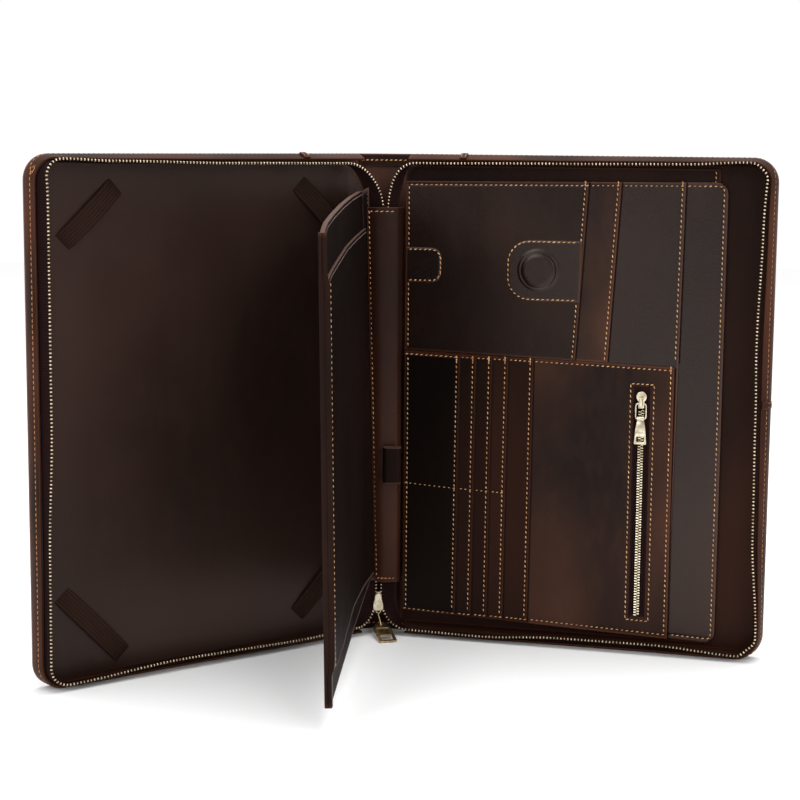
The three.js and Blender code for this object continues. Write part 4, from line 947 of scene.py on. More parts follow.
tab_stitches = []
for join in joins:
    cover = join[0]
    name = join[1]
    lean = from_table(cover["edge"], join[-1], 1) * STRIP_DEPTH
    rows = []
    for depth in np.linspace(mix(COVER_BACK, STRIP_DEPTH, 0.25), STRIP_DEPTH, 9):
        inset = strip_inset(lean, depth) - TAB_GAP + 0.4
        rows.append([edge_spot(cover, join_station(join, share), inset, depth) for share in TAB_LINES])
    toward = way_out(cover, join_station(join, 0))
    tab = laid_sheet(name + "_leather", rows, TAB_LEATHER + 0.4, toward, rim=0.35)
    dress(tab, edge_leather, "edge_leather", [name])
    for share in TAB_SEW_LINES:
        row = []
        for depth in np.linspace(5, STRIP_DEPTH - 0.6, 8):
            inset = strip_inset(lean, depth) - TAB_GAP - TAB_LEATHER - 0.05
            row.append(edge_spot(cover, join_station(join, share), inset, depth))
        tab_stitches += sewn_row(row, way_out(cover, join_station(join, share)), TAB_PITCH)
copies("seam_tab_stitches", stitch_shape, tab_stitches, tan_thread)
print("tabs made:", len(joins))

# %% [markdown]
# The zip is one closed loop on each side: out along the cover's wall, round its corners, down through the
# fork at the spine and back. At every station the teeth have a place, and the tape has a way to its free
# edge, so both can be laid from the same list.

# %% Zip loops
CHAIN_Y = -15.9
CHAIN_TOP_X = 2.1
CHAIN_BOTTOM_X = -1.3
CHAIN_TOP = COVER_HEIGHT - 38
CHAIN_BOTTOM = 27.5
CHAIN_HALF = 1.2
TAPE_SINK = 2.6
TAPE_WIDTH = CHAIN_DEPTH - TAPE_DEPTH
TAPE_RIGHT_END = 11.8
left["turns"] = (17, 27, 8, 16)
right["turns"] = (11, 14, 12, 15)
TOP_RISE = 13
BOTTOM_RISE = 12


def chain_x(z):
    return mix(CHAIN_BOTTOM_X, CHAIN_TOP_X, (z - CHAIN_BOTTOM) / (CHAIN_TOP - CHAIN_BOTTOM))


def wall_zip(cover, station):
    lean = from_table(cover["edge"], station[4], 1) * STRIP_DEPTH
    inset = from_table(cover["edge"], station[4], 2) * CHAIN_DEPTH
    beside = STRIP_LEATHER + GAP + TAPE * 0.75
    at_front = lean + beside
    past = (STRIP_DEPTH - TAPE_DEPTH) / (CHAIN_DEPTH - STRIP_DEPTH)
    tape_inset = max(strip_inset(lean, TAPE_DEPTH) + beside, at_front - (inset - at_front) * past)
    teeth = edge_spot(cover, station, inset, CHAIN_DEPTH)
    edge = edge_spot(cover, station, tape_inset, TAPE_DEPTH)
    return teeth, edge, way_out(cover, station)


def spine_zip(cover, z):
    x = chain_x(z) + cover["side"] * (CHAIN_HALF + 0.25)
    edge_x = x - TAPE_WIDTH if cover["side"] < 0 else min(x + TAPE_WIDTH, TAPE_RIGHT_END)
    return Vector((x, CHAIN_Y, z)), Vector((edge_x, CHAIN_Y + TAPE_SINK, z)), Vector((0, 1, 0))


def fork(start, way_along, reach, end, way_up, rise, steps):
    first_way = start[1] - start[0]
    last_way = end[1] - end[0]
    stations = []
    for k in range(1, steps + 1):
        t = k / steps
        s = soft(t)
        teeth = bezier(start[0], start[0] + way_along * reach, end[0] + way_up * rise, end[0], t)
        way = first_way.normalized().lerp(last_way.normalized(), s).normalized()
        way *= mix(first_way.length, last_way.length, s)
        stations.append((teeth, teeth + way, start[2].lerp(Vector((0, 1, 0)), s)))
    return stations


def zip_loop(cover):
    bottom_turn, top_turn, bottom_reach, top_reach = cover["turns"]
    walls = [wall_zip(cover, s) for s in edge_stations(bottom_turn, top_turn, 40, 10)]
    back = -outward_u(cover)
    up = Vector((0, 0, 1))
    top = fork(walls[-1], back, top_reach, spine_zip(cover, CHAIN_TOP), up, TOP_RISE, 24)
    bottom = fork(walls[0], back, bottom_reach, spine_zip(cover, CHAIN_BOTTOM), -up, BOTTOM_RISE, 18)
    spine = [spine_zip(cover, mix(CHAIN_TOP, CHAIN_BOTTOM, k / 20)) for k in range(1, 20)]
    return [*walls, *top, *spine, *reversed(bottom)]


def zip_axes(station):
    teeth, edge, out = station
    way = (edge - teeth).normalized()
    side = (out - way * out.dot(way)).normalized()
    return teeth, way, side, (edge - teeth).length


left["zip"] = zip_loop(left)
right["zip"] = zip_loop(right)
print("zip stations:", len(left["zip"]), len(right["zip"]))

# %% [markdown]
# The tape is a thin woven band with a thicker cord along its inner edge, which the teeth grip. The loop is
# closed, so the first and last columns of the grid are merged.

# %% Zip tapes
for cover in (left, right):
    loop = [zip_axes(s) for s in cover["zip"]]
    loop.append(loop[0])
    rows = []
    for share in (0.0, 0.06, 0.14, 0.24, 0.4, 0.6, 0.8, 1.0):
        rows.append([teeth + way * mix(0.5, width, share) for teeth, way, side, width in loop])
    name = cover["name"] + "_zip_tape"
    tape = laid_sheet(name + "_band", rows, TAPE, loop[0][2], rim=0.25, grow=0.0, closed=True)
    dress(tape, tape_weave, "zip_tape", [name])
print("tapes made")

# %% [markdown]
# One tooth is a small block that clamps the cord, drawn in to a round nose. It starts as a cube, is cut
# once across, narrowed at its nose and bevelled. Copies of it stand along each loop at an even pitch.

# %% Zip teeth
TOOTH_PITCH = 2.5
TOOTH_LONG = 1.4
TOOTH_WIDE = 1.0
TOOTH_THICK = 1.7
TOOTH_NOSE = 0.62


def tooth(long, wide, thick, nose):
    clear_selection()
    bpy.ops.mesh.primitive_cube_add(size=1, scale=(wide, long, thick))
    bpy.ops.object.transform_apply(location=False, rotation=False, scale=True)
    piece = bpy.context.object
    bpy.ops.object.mode_set(mode="EDIT")
    bpy.ops.mesh.select_all(action="SELECT")
    bpy.ops.mesh.bisect(plane_co=(0, 0, 0), plane_no=(0, 1, 0), use_fill=False)
    bpy.ops.object.mode_set(mode="OBJECT")
    for vertex in piece.data.vertices:
        if vertex.co.y < -long * 0.4:
            vertex.co.x *= nose
            vertex.co.z *= 0.72
    apply_modifier(piece, "BEVEL", width=0.28, segments=1, limit_method="ANGLE",
                   angle_limit=math.radians(30))
    return shape_of(piece)


tooth_shape = tooth(TOOTH_LONG, TOOTH_WIDE, TOOTH_THICK, TOOTH_NOSE)
for cover in (left, right):
    loop = [zip_axes(s) for s in cover["zip"]]
    places = []
    for k, share, place, way_on in stepped([s[0] for s in loop], TOOTH_PITCH, closed=True):
        after = loop[(k + 1) % len(loop)]
        way = loop[k][1].lerp(after[1], share)
        side = loop[k][2].lerp(after[2], share)
        across = (way - way_on * way.dot(way_on)).normalized()
        axes = Matrix((way_on, across, way_on.cross(across))).transposed().to_4x4()
        places.append(Matrix.Translation(place + across * 0.25) @ axes)
    name = cover["name"] + "_zip_teeth"
    copies(name + "_row", tooth_shape, places, tooth_metal, "antique_brass", [name], smooth=30)
    print(name, "has", len(places), "teeth")

# %% [markdown]
# The linings are single sheets glued inside the covers. The left one bends round at the spine and runs on
# behind the zip tape, so it is laid in two stretches: flat on the cover, then across to the tape.

# %% Linings
LINING = 1.2
LINING_MARGIN = 4.5
LINING_FRONT = COVER_BACK + LINING
LINING_BEND = 16
LINING_END_INSET = 26
LINING_LAP = 3
LINING_ROOM = 0.1
LINING_FADE = 30
LINING_SAG = 1.5
LINING_START = HEM_END + GAP
lining_low = LINING_MARGIN
lining_high = COVER_HEIGHT - LINING_MARGIN
lining_outer = COVER_WIDTH - LINING_MARGIN
lining_corner = COVER_CORNER - LINING_MARGIN
right_corners = [(LINING_START, lining_low), (lining_outer, lining_low), (lining_outer, lining_high),
                 (LINING_START, lining_high)]
right_radii = (0, lining_corner, lining_corner, 0)
right_lining = Panel(right, right_corners, COVER_BACK, LINING, right_radii, flat=True)
right_lining.made("right_lining_leather", brown_leather, "lining_leather", ["right_lining"], step=12)

end_edge = spine_zip(left, COVER_HEIGHT / 2)[1]
lap_x = end_edge.x + LINING_LAP
lap_y = CHAIN_Y + TAPE_SINK + TAPE / 2 + GAP + LINING
corner_start = lining_outer - lining_corner
columns = []
for k in range(7):
    turn = math.pi / 2 * k / 6
    u = lining_outer - lining_corner * (1 - math.cos(turn))
    columns.append((u, lining_corner * (1 - math.sin(turn))))
columns += [(mix(corner_start, LINING_BEND, k / 24), 0) for k in range(1, 25)]
row_shares = [0, 0.003, 0.008, *np.linspace(0.03, 0.97, 30), 0.992, 0.997, 1]
rows = []
for share in row_shares:
    row = []
    for u, cut in columns:
        z = mix(lining_low + cut, lining_high - cut, share)
        fade = max(0, min(1, (u - LINING_BEND) / LINING_FADE, (lining_outer - u) / LINING_FADE))
        row.append(spot(left, u, COVER_BACK + LINING_ROOM + fade * (swell(left, u, z) + SWELL["left"]), z))
    start = row[-1]
    for k in range(1, 9):
        t = k / 8
        z = mix(start.z, mix(lining_low + LINING_END_INSET, lining_high - LINING_END_INSET, share), t)
        sag = math.sin(math.pi * t) * LINING_SAG
        row.append(Vector((mix(start.x, lap_x, t), mix(start.y, lap_y, t) + sag, z)))
    rows.append(row)
left_lining = laid_sheet("left_lining_leather", rows, LINING, inward(left), rim=0.35)
dress(left_lining, lining_leather, "lining_leather", ["left_lining"])
print("linings made")

# %% [markdown]
# Four elastic straps cross the left cover's corners and hold a tablet or a pad. Elastic is ribbed along
# its length, so the grid has four rows for each rib, which rise and fall in a round crest. The ends dip
# into the lining, and a little shadow line shows where they go in.

# %% Elastic corner straps
STRAP_WIDTH = 13
STRAP_THICKNESS = 1.2
STRAP_ARCH = 2.2
STRAP_STEPS = 20
STRAP_END = 0.06
STRAP_DIP = 0.5
STRAP_RIBS = 6
RIB_STEPS = 4
RIB_HEIGHT = 0.8
RIB_ROUND = 0.6
rib_rows = RIB_STEPS * STRAP_RIBS
crests = [abs(math.sin(math.pi * rib / RIB_STEPS)) ** RIB_ROUND for rib in range(rib_rows + 1)]
straps = {
    "strap_top_outer": ((0.906, 0.837), (0.758, 0.941)),
    "strap_top_inner": ((0.219, 0.941), (0.083, 0.84)),
    "strap_bottom_outer": ((0.925, 0.174), (0.755, 0.039)),
    "strap_bottom_inner": ((0.223, 0.059), (0.083, 0.166)),
}
for name, (start, end) in straps.items():
    a = Vector((start[0] * COVER_WIDTH, start[1] * COVER_HEIGHT))
    b = Vector((end[0] * COVER_WIDTH, end[1] * COVER_HEIGHT))
    across = Vector((-(b - a).y, (b - a).x)).normalized() * STRAP_WIDTH
    rows = []
    for rib, crest in enumerate(crests):
        row = []
        for step in range(STRAP_STEPS + 1):
            t = step / STRAP_STEPS
            middle = a.lerp(b, t) + across * (rib / rib_rows - 0.5)
            ends = min(1, min(t, 1 - t) / STRAP_END)
            sunk = STRAP_ARCH * math.sin(math.pi * t) - STRAP_DIP * (1 - ends)
            depth = LINING_FRONT + GAP + sunk + RIB_HEIGHT * crest * ends
            row.append(spot(left, middle.x, depth, middle.y))
        rows.append(row)
    # The crest shares go to the finish too, which paints the rib tops lighter as a painted highlight.
    strap = laid_sheet(name + "_elastic", rows, STRAP_THICKNESS - STRAP_DIP, inward(left), rim=0.12,
                       smooth=60, crest=crests)
    dress(strap, elastic_weave, "elastic", [name])
print("straps made")

# %% [markdown]
# The spine strip is the leather band that stands in front of the joined zip, folded back along its right
# side. It is wider at the top than at the bottom, and its cross-section is one soft curve.

# %% Spine strip and its sewing
BAND_BOTTOM = 40
BAND_TOP = COVER_HEIGHT - 37.5
BAND_LEATHER = 1.4
BAND_FRONT = 19.4
BAND_CROWN = 0.9
BAND_SIDE = 15.6
BAND_TAPER = 1.2
BAND_FOLD = 5.4
BAND_END = 6.2
BAND_LEFT = (-3.6, -11.2)
BAND_RIGHT = (12.2, 10.6)
BAND_SEW = 0.07
BAND_END_SEW = 3.0
BAND_SEW_END = 0.72


def band_share(z):
    return (z - BAND_BOTTOM) / (BAND_TOP - BAND_BOTTOM)


def band_point(across, z):
    t = band_share(z)
    left_x = mix(*BAND_LEFT, t)
    right_x = mix(*BAND_RIGHT, t)
    wide = right_x - left_x
    back = -BAND_FRONT + BAND_LEATHER
    stops = [
        (0.0, left_x, back + BAND_CROWN), (0.3, left_x + wide * 0.3, back - BAND_CROWN),
        (0.55, left_x + wide * 0.65, back - BAND_CROWN * 0.8),
        (0.75, right_x - BAND_LEATHER * 0.6, back + BAND_CROWN * 0.8),
        (0.9, BAND_SIDE - BAND_TAPER - BAND_LEATHER, -BAND_FRONT + BAND_FOLD + BAND_LEATHER / 2),
        (1.0, BAND_SIDE - BAND_LEATHER, -BAND_END),
    ]
    for low, high in zip(stops, stops[1:]):
        if across <= high[0]:
            share = (across - low[0]) / (high[0] - low[0])
            return Vector((mix(low[1], high[1], share), mix(low[2], high[2], share), z))
    return Vector((stops[-1][1], stops[-1][2], z))


band_across = [0, 0.03, 0.07, 0.1, 0.13, 0.2, 0.3, 0.4, 0.5, 0.6, 0.68, 0.74, 0.77, 0.82, 0.88, 0.92, 0.97, 1]
band_heights = [BAND_BOTTOM + d for d in marks(BAND_TOP - BAND_BOTTOM, [0, 0.8, 2.2, 3.0, 3.8, 7], 16)]
rows = []
for z in band_heights:
    row = []
    for across in band_across:
        point = band_point(across, z)
        dip = math.exp(-((across - BAND_SEW) / 0.03) ** 2)
        for from_end in (BAND_TOP - z, z - BAND_BOTTOM):
            dip = max(dip, math.exp(-((from_end - BAND_END_SEW) / GROOVE_WIDTH) ** 2))
        slack = 0.35 * math.sin(z * 0.045 + across * 2) * math.sin(math.pi * across)
        point.y += GROOVE * dip * (1 if across < 0.75 else 0) + slack
        row.append(point)
    rows.append(row)
band_up = Vector((0, -1, 0))
band = laid_sheet("spine_strip_leather", rows, BAND_LEATHER, band_up, rim=0.4)
dress(band, band_leather, "leather", ["spine_strip"])


def band_front(across, z):
    return band_point(across, z) - Vector((0, BAND_LEATHER + SEW_LIFT - GROOVE, 0))


sew_across = np.linspace(0.05, BAND_SEW_END, 30)
down_line = [band_front(BAND_SEW, z) for z in np.linspace(BAND_TOP - 2, BAND_BOTTOM + 4, 160)]
top_line = [band_front(across, BAND_TOP - BAND_END_SEW) for across in sew_across]
bottom_line = [band_front(across, BAND_BOTTOM + BAND_END_SEW) for across in sew_across]
band_rows = sewn_row(down_line, band_up) + sewn_row(top_line, band_up)
copies("spine_strip_stitches", stitch_shape, band_rows, tan_thread)
thick = Matrix.Diagonal((1.0, 1.35, 1.3, 1))
end_rows = [place @ thick for place in sewn_row(bottom_line, band_up, 3.0)]
copies("spine_strip_end_stitches", stitch_shape, end_rows, rust_thread)
print("spine strip made")

# %% [markdown]
# The pen loop is a short flattened tube of leather sewn to the spine strip. Its wall is a closed sheet that
# follows a rounded box, laid once round and given its thickness inwards.

# %% Pen loop
LOOP_HEIGHT = 26.5
LOOP_BOTTOM = 114.5
LOOP_WIDTH = 13
LOOP_DEPTH = 7.4
LOOP_WALL = 1.2
LOOP_X = 8
LOOP_CORNER = 3
LOOP_BACK = -(BAND_FRONT + BAND_CROWN + GAP)


def rounded_box(wide, tall, corner, steps):
    points = []
    for number, (sx, sy) in enumerate(((1, 1), (-1, 1), (-1, -1), (1, -1))):
        for k in range(steps + 1):
            turn = math.pi / 2 * (number + k / steps)
            points.append((sx * (wide / 2 - corner) + corner * math.cos(turn),
                           sy * (tall / 2 - corner) + corner * math.sin(turn)))
    return points


ring = rounded_box(LOOP_WIDTH, LOOP_DEPTH, LOOP_CORNER, 5)
ring.append(ring[0])
heights = [LOOP_BOTTOM + d for d in (0, 0.6, 1.6, 2.4, 3.2, 8, 13, 18, 23.3, 24.1, 24.9, 25.9, LOOP_HEIGHT)]
rows = [[Vector((LOOP_X + x, LOOP_BACK - LOOP_DEPTH / 2 + y, z)) for x, y in ring] for z in heights]
first = Vector((1, 0.2, 0))
pen_loop = laid_sheet("pen_loop_leather", rows, LOOP_WALL, first, rim=0.35, grow=-1.0, closed=True)
dress(pen_loop, leaf_leather, "leather", ["pen_loop"])
print("pen loop made")

# %% [markdown]
# The leaf is a stiff double sheet hinged at the spine strip, with a big open pocket on its right face. Its
# top edge slopes down towards the viewer, and the pocket's top follows it lower down. A folded binding
# closes the outer edge of both sheets.

# %% Leaf
LEAF_REACH = 245
LEAF_LEATHER = 1.8
LEAF_THICKNESS = 3.2
LEAF_HINGE_Y = CHAIN_Y - 1.1
LEAF_BOTTOM = 41
LEAF_TOP = COVER_HEIGHT - 26
LEAF_DROOP = 25.5
LEAF_TOP_DROOP = 15.5
LEAF_BELLY = 2.5
POCKET_TOP_DROP = 26.5
POCKET_PUFF = 2
POCKET_SAG = 2.5
LEAF_OUTER_X = (-29.6, -33.9)
LEAF_GRID_TALL = 280
LEAF_LEFT_FACE = LEAF_LEATHER - LEAF_THICKNESS
POCKET_FACE = 2 * LEAF_LEATHER + GAP

# Each row: how far out, the droop of the back's top, of the pocket's top and of the pocket's bottom.
leaf_rows = [
    (0, 0, 0, 0.137), (0.3, 0.13, 0.11, 0.569), (0.55, 0.33, 0.28, 0.824), (0.78, 0.6, 0.62, 0.686),
    (0.93, 0.84, 0.86, 0.725), (1, 1.18, 1.06, 0.882),
]


def leaf_value(t, column):
    for low, high in zip(leaf_rows, leaf_rows[1:]):
        if t <= high[0]:
            return mix(low[column], high[column], (t - low[0]) / (high[0] - low[0]))
    return leaf_rows[-1][column]


def leaf_span(t, pocket):
    low = LEAF_BOTTOM - LEAF_DROOP * t + LEAF_BELLY * math.sin(math.pi * t)
    high = LEAF_TOP - LEAF_TOP_DROOP * leaf_value(t, 2 if pocket else 1)
    if pocket:
        low += leaf_value(t, 3) * LEAF_DROOP
        high -= POCKET_TOP_DROP + POCKET_SAG * t
    return low, high


def leaf_point(t, z, side, puff=0.0):
    share = band_share(z)
    hinge_x = mix(*BAND_LEFT, share) - 2 * LEAF_LEATHER - 1.2
    outer_x = mix(*LEAF_OUTER_X, share)
    return Vector((mix(hinge_x, outer_x, t) + side + puff, mix(LEAF_HINGE_Y, -LEAF_REACH, t), z))


def leaf_rows_of(pocket, side, edge_lines):
    shares = [0, *[d / LEAF_REACH for d in (0.8, 3, 6)], *np.linspace(0.06, 0.95, 24),
              *[1 - d / LEAF_REACH for d in (6, 4.2, 3.4, 2.6, 0.8)], 1]
    spans = [leaf_span(t, pocket) for t in shares]
    rows = []
    heights = [d / LEAF_GRID_TALL for d in edge_lines] + list(np.linspace(0.04, 0.96, 24))
    heights += [1 - d / LEAF_GRID_TALL for d in reversed(edge_lines)]
    for share in heights:
        row = []
        for t, (low, high) in zip(shares, spans):
            z = mix(low, high, share)
            puff = POCKET_PUFF * math.sin(math.pi * t) * math.sin(math.pi * share) if pocket else 0
            row.append(leaf_point(t, z, side, puff))
        rows.append(row)
    return rows


toward_right = Vector((1, 0, 0))
edge_lines = (0, 0.8, 1.7, 2.5, 3.3, 5)
back_rows = leaf_rows_of(False, LEAF_LEFT_FACE, edge_lines)
leaf_back = laid_sheet("leaf_back_leather", back_rows, LEAF_THICKNESS, toward_right, rim=0.8)
dress(leaf_back, leaf_leather, "leather", ["leaf_back"])
pocket_rows = leaf_rows_of(True, LEAF_LEATHER + GAP, edge_lines)
leaf_pocket = laid_sheet("leaf_pocket_leather", pocket_rows, LEAF_LEATHER, toward_right, rim=0.5)
dress(leaf_pocket, leaf_leather, "leather", ["leaf_pocket"])
print("leaf sheets made")

# %% [markdown]
# The binding is one thin strip folded round the outer edge of both sheets. Its cross-section is a short
# table that dips between the sheets, and it is laid at many heights. A narrow flap carries the leaf behind
# the spine strip.

# %% Leaf binding and hinge
BINDING_REACH = 4.2
BINDING_LEATHER = 0.7
BINDING_ROOM = 0.05
BINDING_TURN = (
    (-0.5, 0.1), (-0.7, 0.28), (-0.4, 0.4), (0.7, 0.48), (0.7, 0.54), (-0.3, 0.62), (-0.6, 0.76), (-0.4, 0.9),
)
low_edge, high_edge = leaf_span(1, False)
pocket_low, pocket_high = leaf_span(1, True)
rows = []
for z in np.linspace(low_edge - 0.2, high_edge + 0.2, 60):
    inside = soft((pocket_high - z) / 3) * soft((z - pocket_low) / 3)
    face = mix(LEAF_LEATHER, POCKET_FACE, inside) + BINDING_ROOM
    back = LEAF_LEATHER - LEAF_THICKNESS - BINDING_ROOM
    profile = [(BINDING_REACH, back), (BINDING_REACH * 0.4, back), (0, back)]
    profile += [(past, mix(back, face, share)) for past, share in BINDING_TURN]
    profile += [(0, face), (BINDING_REACH * 0.4, face), (BINDING_REACH, face)]
    rows.append([leaf_point(1 - d / LEAF_REACH, z, side) for d, side in profile])
binding = laid_sheet("leaf_binding", rows, BINDING_LEATHER, Vector((-1, 0, 0)), rim=0.25, worn=0.35)
dress(binding, brown_leather, "leather")

HINGE_LAP = 1.6
HINGE_BACK = 3.4
HINGE_LEATHER = 0.5
HINGE_TOP_RISE = 2.5
rows = []
for share in np.linspace(0, 1, 50):
    row = []
    for step in range(5):
        z = mix(LEAF_BOTTOM, LEAF_TOP + HINGE_TOP_RISE * step / 4, share)
        left_x = mix(*BAND_LEFT, band_share(z))
        row.append(Vector((mix(left_x - HINGE_BACK, left_x + HINGE_LAP, step / 4), LEAF_HINGE_Y - 0.1, z)))
    rows.append(row)
hinge = laid_sheet("leaf_hinge_leather", rows, HINGE_LEATHER, band_up, rim=0.15)
dress(hinge, leaf_leather, "leather")
print("binding and hinge made")

# %% [markdown]
# Dusky thread runs along the leaf's top and bottom edges on both faces, and along the pocket's. The rows
# through the binding are tan, so they show up against its dark edge.

# %% Leaf sewing
LEAF_SEW = 2.5
BINDING_SEW = 2.6
BINDING_SEW_LIFT = 0.8
LEAF_SEW_LIFT = 0.1


def edge_line(pocket, side, at_top):
    line = []
    for t in np.linspace(0.01, 0.985, 140):
        low, high = leaf_span(t, pocket)
        z = high - LEAF_SEW if at_top else low + LEAF_SEW
        rise = math.sin(math.pi * LEAF_SEW / (high - low))
        puff = POCKET_PUFF * math.sin(math.pi * t) * rise if pocket else 0
        line.append(leaf_point(t, z, side, puff))
    return line


hinge_line = []
for z in np.linspace(BAND_TOP + 1.5, LEAF_TOP - 1, 20):
    hinge_line.append(Vector((mix(*BAND_LEFT, band_share(z)) + 0.4, LEAF_HINGE_Y - 0.7, z)))
copies("leaf_hinge_stitches", stitch_shape, sewn_row(hinge_line, band_up), dusky_thread)

leaf_sewing = []
binding_t = 1 - BINDING_SEW / LEAF_REACH
for side, up, pocket in ((POCKET_FACE + BINDING_SEW_LIFT, toward_right, True),
                         (LEAF_LEFT_FACE - BINDING_SEW_LIFT, -toward_right, False)):
    low, high = leaf_span(binding_t, pocket)
    line = [leaf_point(binding_t, mix(low, high, share), side) for share in np.linspace(0.01, 0.99, 120)]
    leaf_sewing += sewn_row(line, up)
edge_sewing = []
for pocket, side, up in ((True, POCKET_FACE + LEAF_SEW_LIFT, toward_right),
                         (False, LEAF_LEATHER + LEAF_SEW_LIFT, toward_right),
                         (False, LEAF_LEFT_FACE - LEAF_SEW_LIFT, -toward_right)):
    for at_top in (True, False):
        edge_sewing += sewn_row(edge_line(pocket, side, at_top), up)
copies("leaf_stitches", stitch_shape, leaf_sewing, tan_thread)
copies("leaf_edge_stitches", stitch_shape, edge_sewing, dusky_thread)
print("leaf sewn with", len(leaf_sewing) + len(edge_sewing), "stitches")

# %% [markdown]
# The organiser is a stack of thin leather layers on the right cover: a rear pocket, the big organiser
# panel, and in front of it a tall pocket, a pen pocket and an upper pocket, then a zipped lower pocket
# with five card slots. Every layer starts beside the spine strip and ends a little sooner than the last.

# %% Depths and edges of the layers
LAYER = 1.0
ORGANISER_LEATHER = 1.2
LAYER_LEFT = 2.8
REAR_DEPTH = LINING_FRONT + GAP
ORGANISER_DEPTH = REAR_DEPTH + LAYER + GAP
TALL_DEPTH = ORGANISER_DEPTH + ORGANISER_LEATHER + GAP
SECOND_DEPTH = TALL_DEPTH + LAYER + GAP
THIRD_DEPTH = SECOND_DEPTH + LAYER + GAP
PAD_DEPTH = THIRD_DEPTH + LAYER + GAP
REAR_WIDTH = 226
ORGANISER_WIDTH = 231.5
TALL_WIDTH = 198.3
TALL_LEAN = 4.6
PEN_WIDTH = 151.5
UPPER_WIDTH = 128.7
UPPER_LEAN = 7.2
LOWER_WIDTH = 198.5
CARD_WIDTHS = (97.5, 79.5, 68, 56.5, 45)
CARD_LEAN = 1.5
CARD_STEP = 0.4


def slant(at_left, at_right, u):
    return mix(at_left, at_right, (u - LAYER_LEFT) / (ORGANISER_WIDTH - LAYER_LEFT))


def panel_top(u):
    return slant(COVER_HEIGHT - 19, COVER_HEIGHT - 17, u)


def panel_bottom(u):
    return slant(17.5, 9, u)


def lower_top(u):
    return slant(210, 203.5, u)


def layer_start(depth):
    return LAYER_LEFT + (depth - REAR_DEPTH) * math.tan(right["swing"])


def layer(wide, wide_top, bottom, top, depth, thickness=LAYER, radii=(0, 0, 0, 0), sewn="", inset=2.4):
    start = layer_start(depth)
    corners = [(start, bottom(start)), (wide, bottom(wide)), (wide_top, top(wide_top)), (start, top(start))]
    return Panel(right, corners, depth, thickness, radii, sewn, inset)


def upper_bottom(u):
    return lower_top(u) + GAP


rear = layer(REAR_WIDTH, REAR_WIDTH, lambda u: 8, lambda u: COVER_HEIGHT - 8, REAR_DEPTH, sewn="r")
organiser = layer(ORGANISER_WIDTH, ORGANISER_WIDTH, panel_bottom, panel_top, ORGANISER_DEPTH,
                  ORGANISER_LEATHER, (0, 8, 8, 0), "rbt", 2.6)
tall = layer(TALL_WIDTH, TALL_WIDTH + TALL_LEAN, panel_bottom, panel_top, TALL_DEPTH, sewn="r")
pen = layer(PEN_WIDTH, PEN_WIDTH + UPPER_LEAN, upper_bottom, panel_top, SECOND_DEPTH, sewn="r")
upper = layer(UPPER_WIDTH, UPPER_WIDTH + UPPER_LEAN, upper_bottom, panel_top, THIRD_DEPTH, sewn="rlt")
print("layer depths:", round(REAR_DEPTH, 1), "to", round(PAD_DEPTH, 1), "mm")

# %% [markdown]
# The layers differ a little in colour, as pieces cut from different parts of a hide do. The upper part is
# dark with a grey bloom, and the pen pocket is browner. The innermost card slots are painted almost black,
# as painted shade for the dark corner beside the spine.

# %% Upper layers
# A near-black copy of the leather: painted shade for the innermost card slot beside the spine.
deep_shade_leather = leather("deep_shade_leather", (7, 5, 4), (11, 7, 5), (18, 11, 8), (58, 32, 23),
                       (0.32, 0.44), 0.06)
rear.made("rear_pocket_leather", brown_leather, "lining_leather", ["rear_pocket"], step=14)
UPPER_LAYERS = (
    (organiser, "organiser_leather", organiser_leather, "lining_leather", "organiser_panel"),
    (tall, "tall_pocket_leather", organiser_leather, "lining_leather", "tall_pocket"),
    (pen, "pen_pocket_leather", waxed_leather, "leather", "pen_pocket"),
    (upper, "upper_pocket_leather", upper_leather, "lining_leather", "upper_pocket"),
)
for panel, name, finish, slot_name, node in UPPER_LAYERS:
    panel.made(name, finish, slot_name, [node], step=12, rim=0.4)
print("upper layers made:", 1 + len(UPPER_LAYERS))

# %% [markdown]
# The lower pocket has a window for its zip. The grid gets lines at the window's edges, and the faces
# inside it are deleted before the sheet gets its thickness, so the window has walls of its own.

# %% Lower pocket with its window
WINDOW_MIDDLE = LOWER_WIDTH - 22.1
WINDOW_WIDTH = 11.5
WINDOW_BOTTOM = 25
WINDOW_TOP = 190
WINDOW_RIM = 1.2
lower = layer(LOWER_WIDTH, LOWER_WIDTH, panel_bottom, lower_top, SECOND_DEPTH, sewn="rtb")
lower_left = lower.corners[0][0]
bottom_here = panel_bottom(WINDOW_MIDDLE)
scale_here = lower.tall / (lower_top(WINDOW_MIDDLE) - bottom_here)
window_x = [WINDOW_MIDDLE + side * WINDOW_WIDTH / 2 - lower_left for side in (-1, 1)]
window_y = [(z - bottom_here) * scale_here for z in (WINDOW_BOTTOM, WINDOW_TOP)]
extra = []
for axis, edges in (("x", window_x), ("y", window_y)):
    for edge in edges:
        extra += [(axis, edge - WINDOW_RIM), (axis, edge), (axis, edge + WINDOW_RIM)]


def in_window(point):
    base = point - spot(right, 0, 0, 0)
    along = base.dot(outward_u(right))
    return abs(along - WINDOW_MIDDLE) < WINDOW_WIDTH / 2 and WINDOW_BOTTOM - 0.5 < point.z < WINDOW_TOP + 0.5


lower.made("lower_pocket_leather", pocket_leather, "leather", ["lower_pocket"], step=11, rim=0.4,
           cut=in_window, extra=extra)
print("lower pocket made")
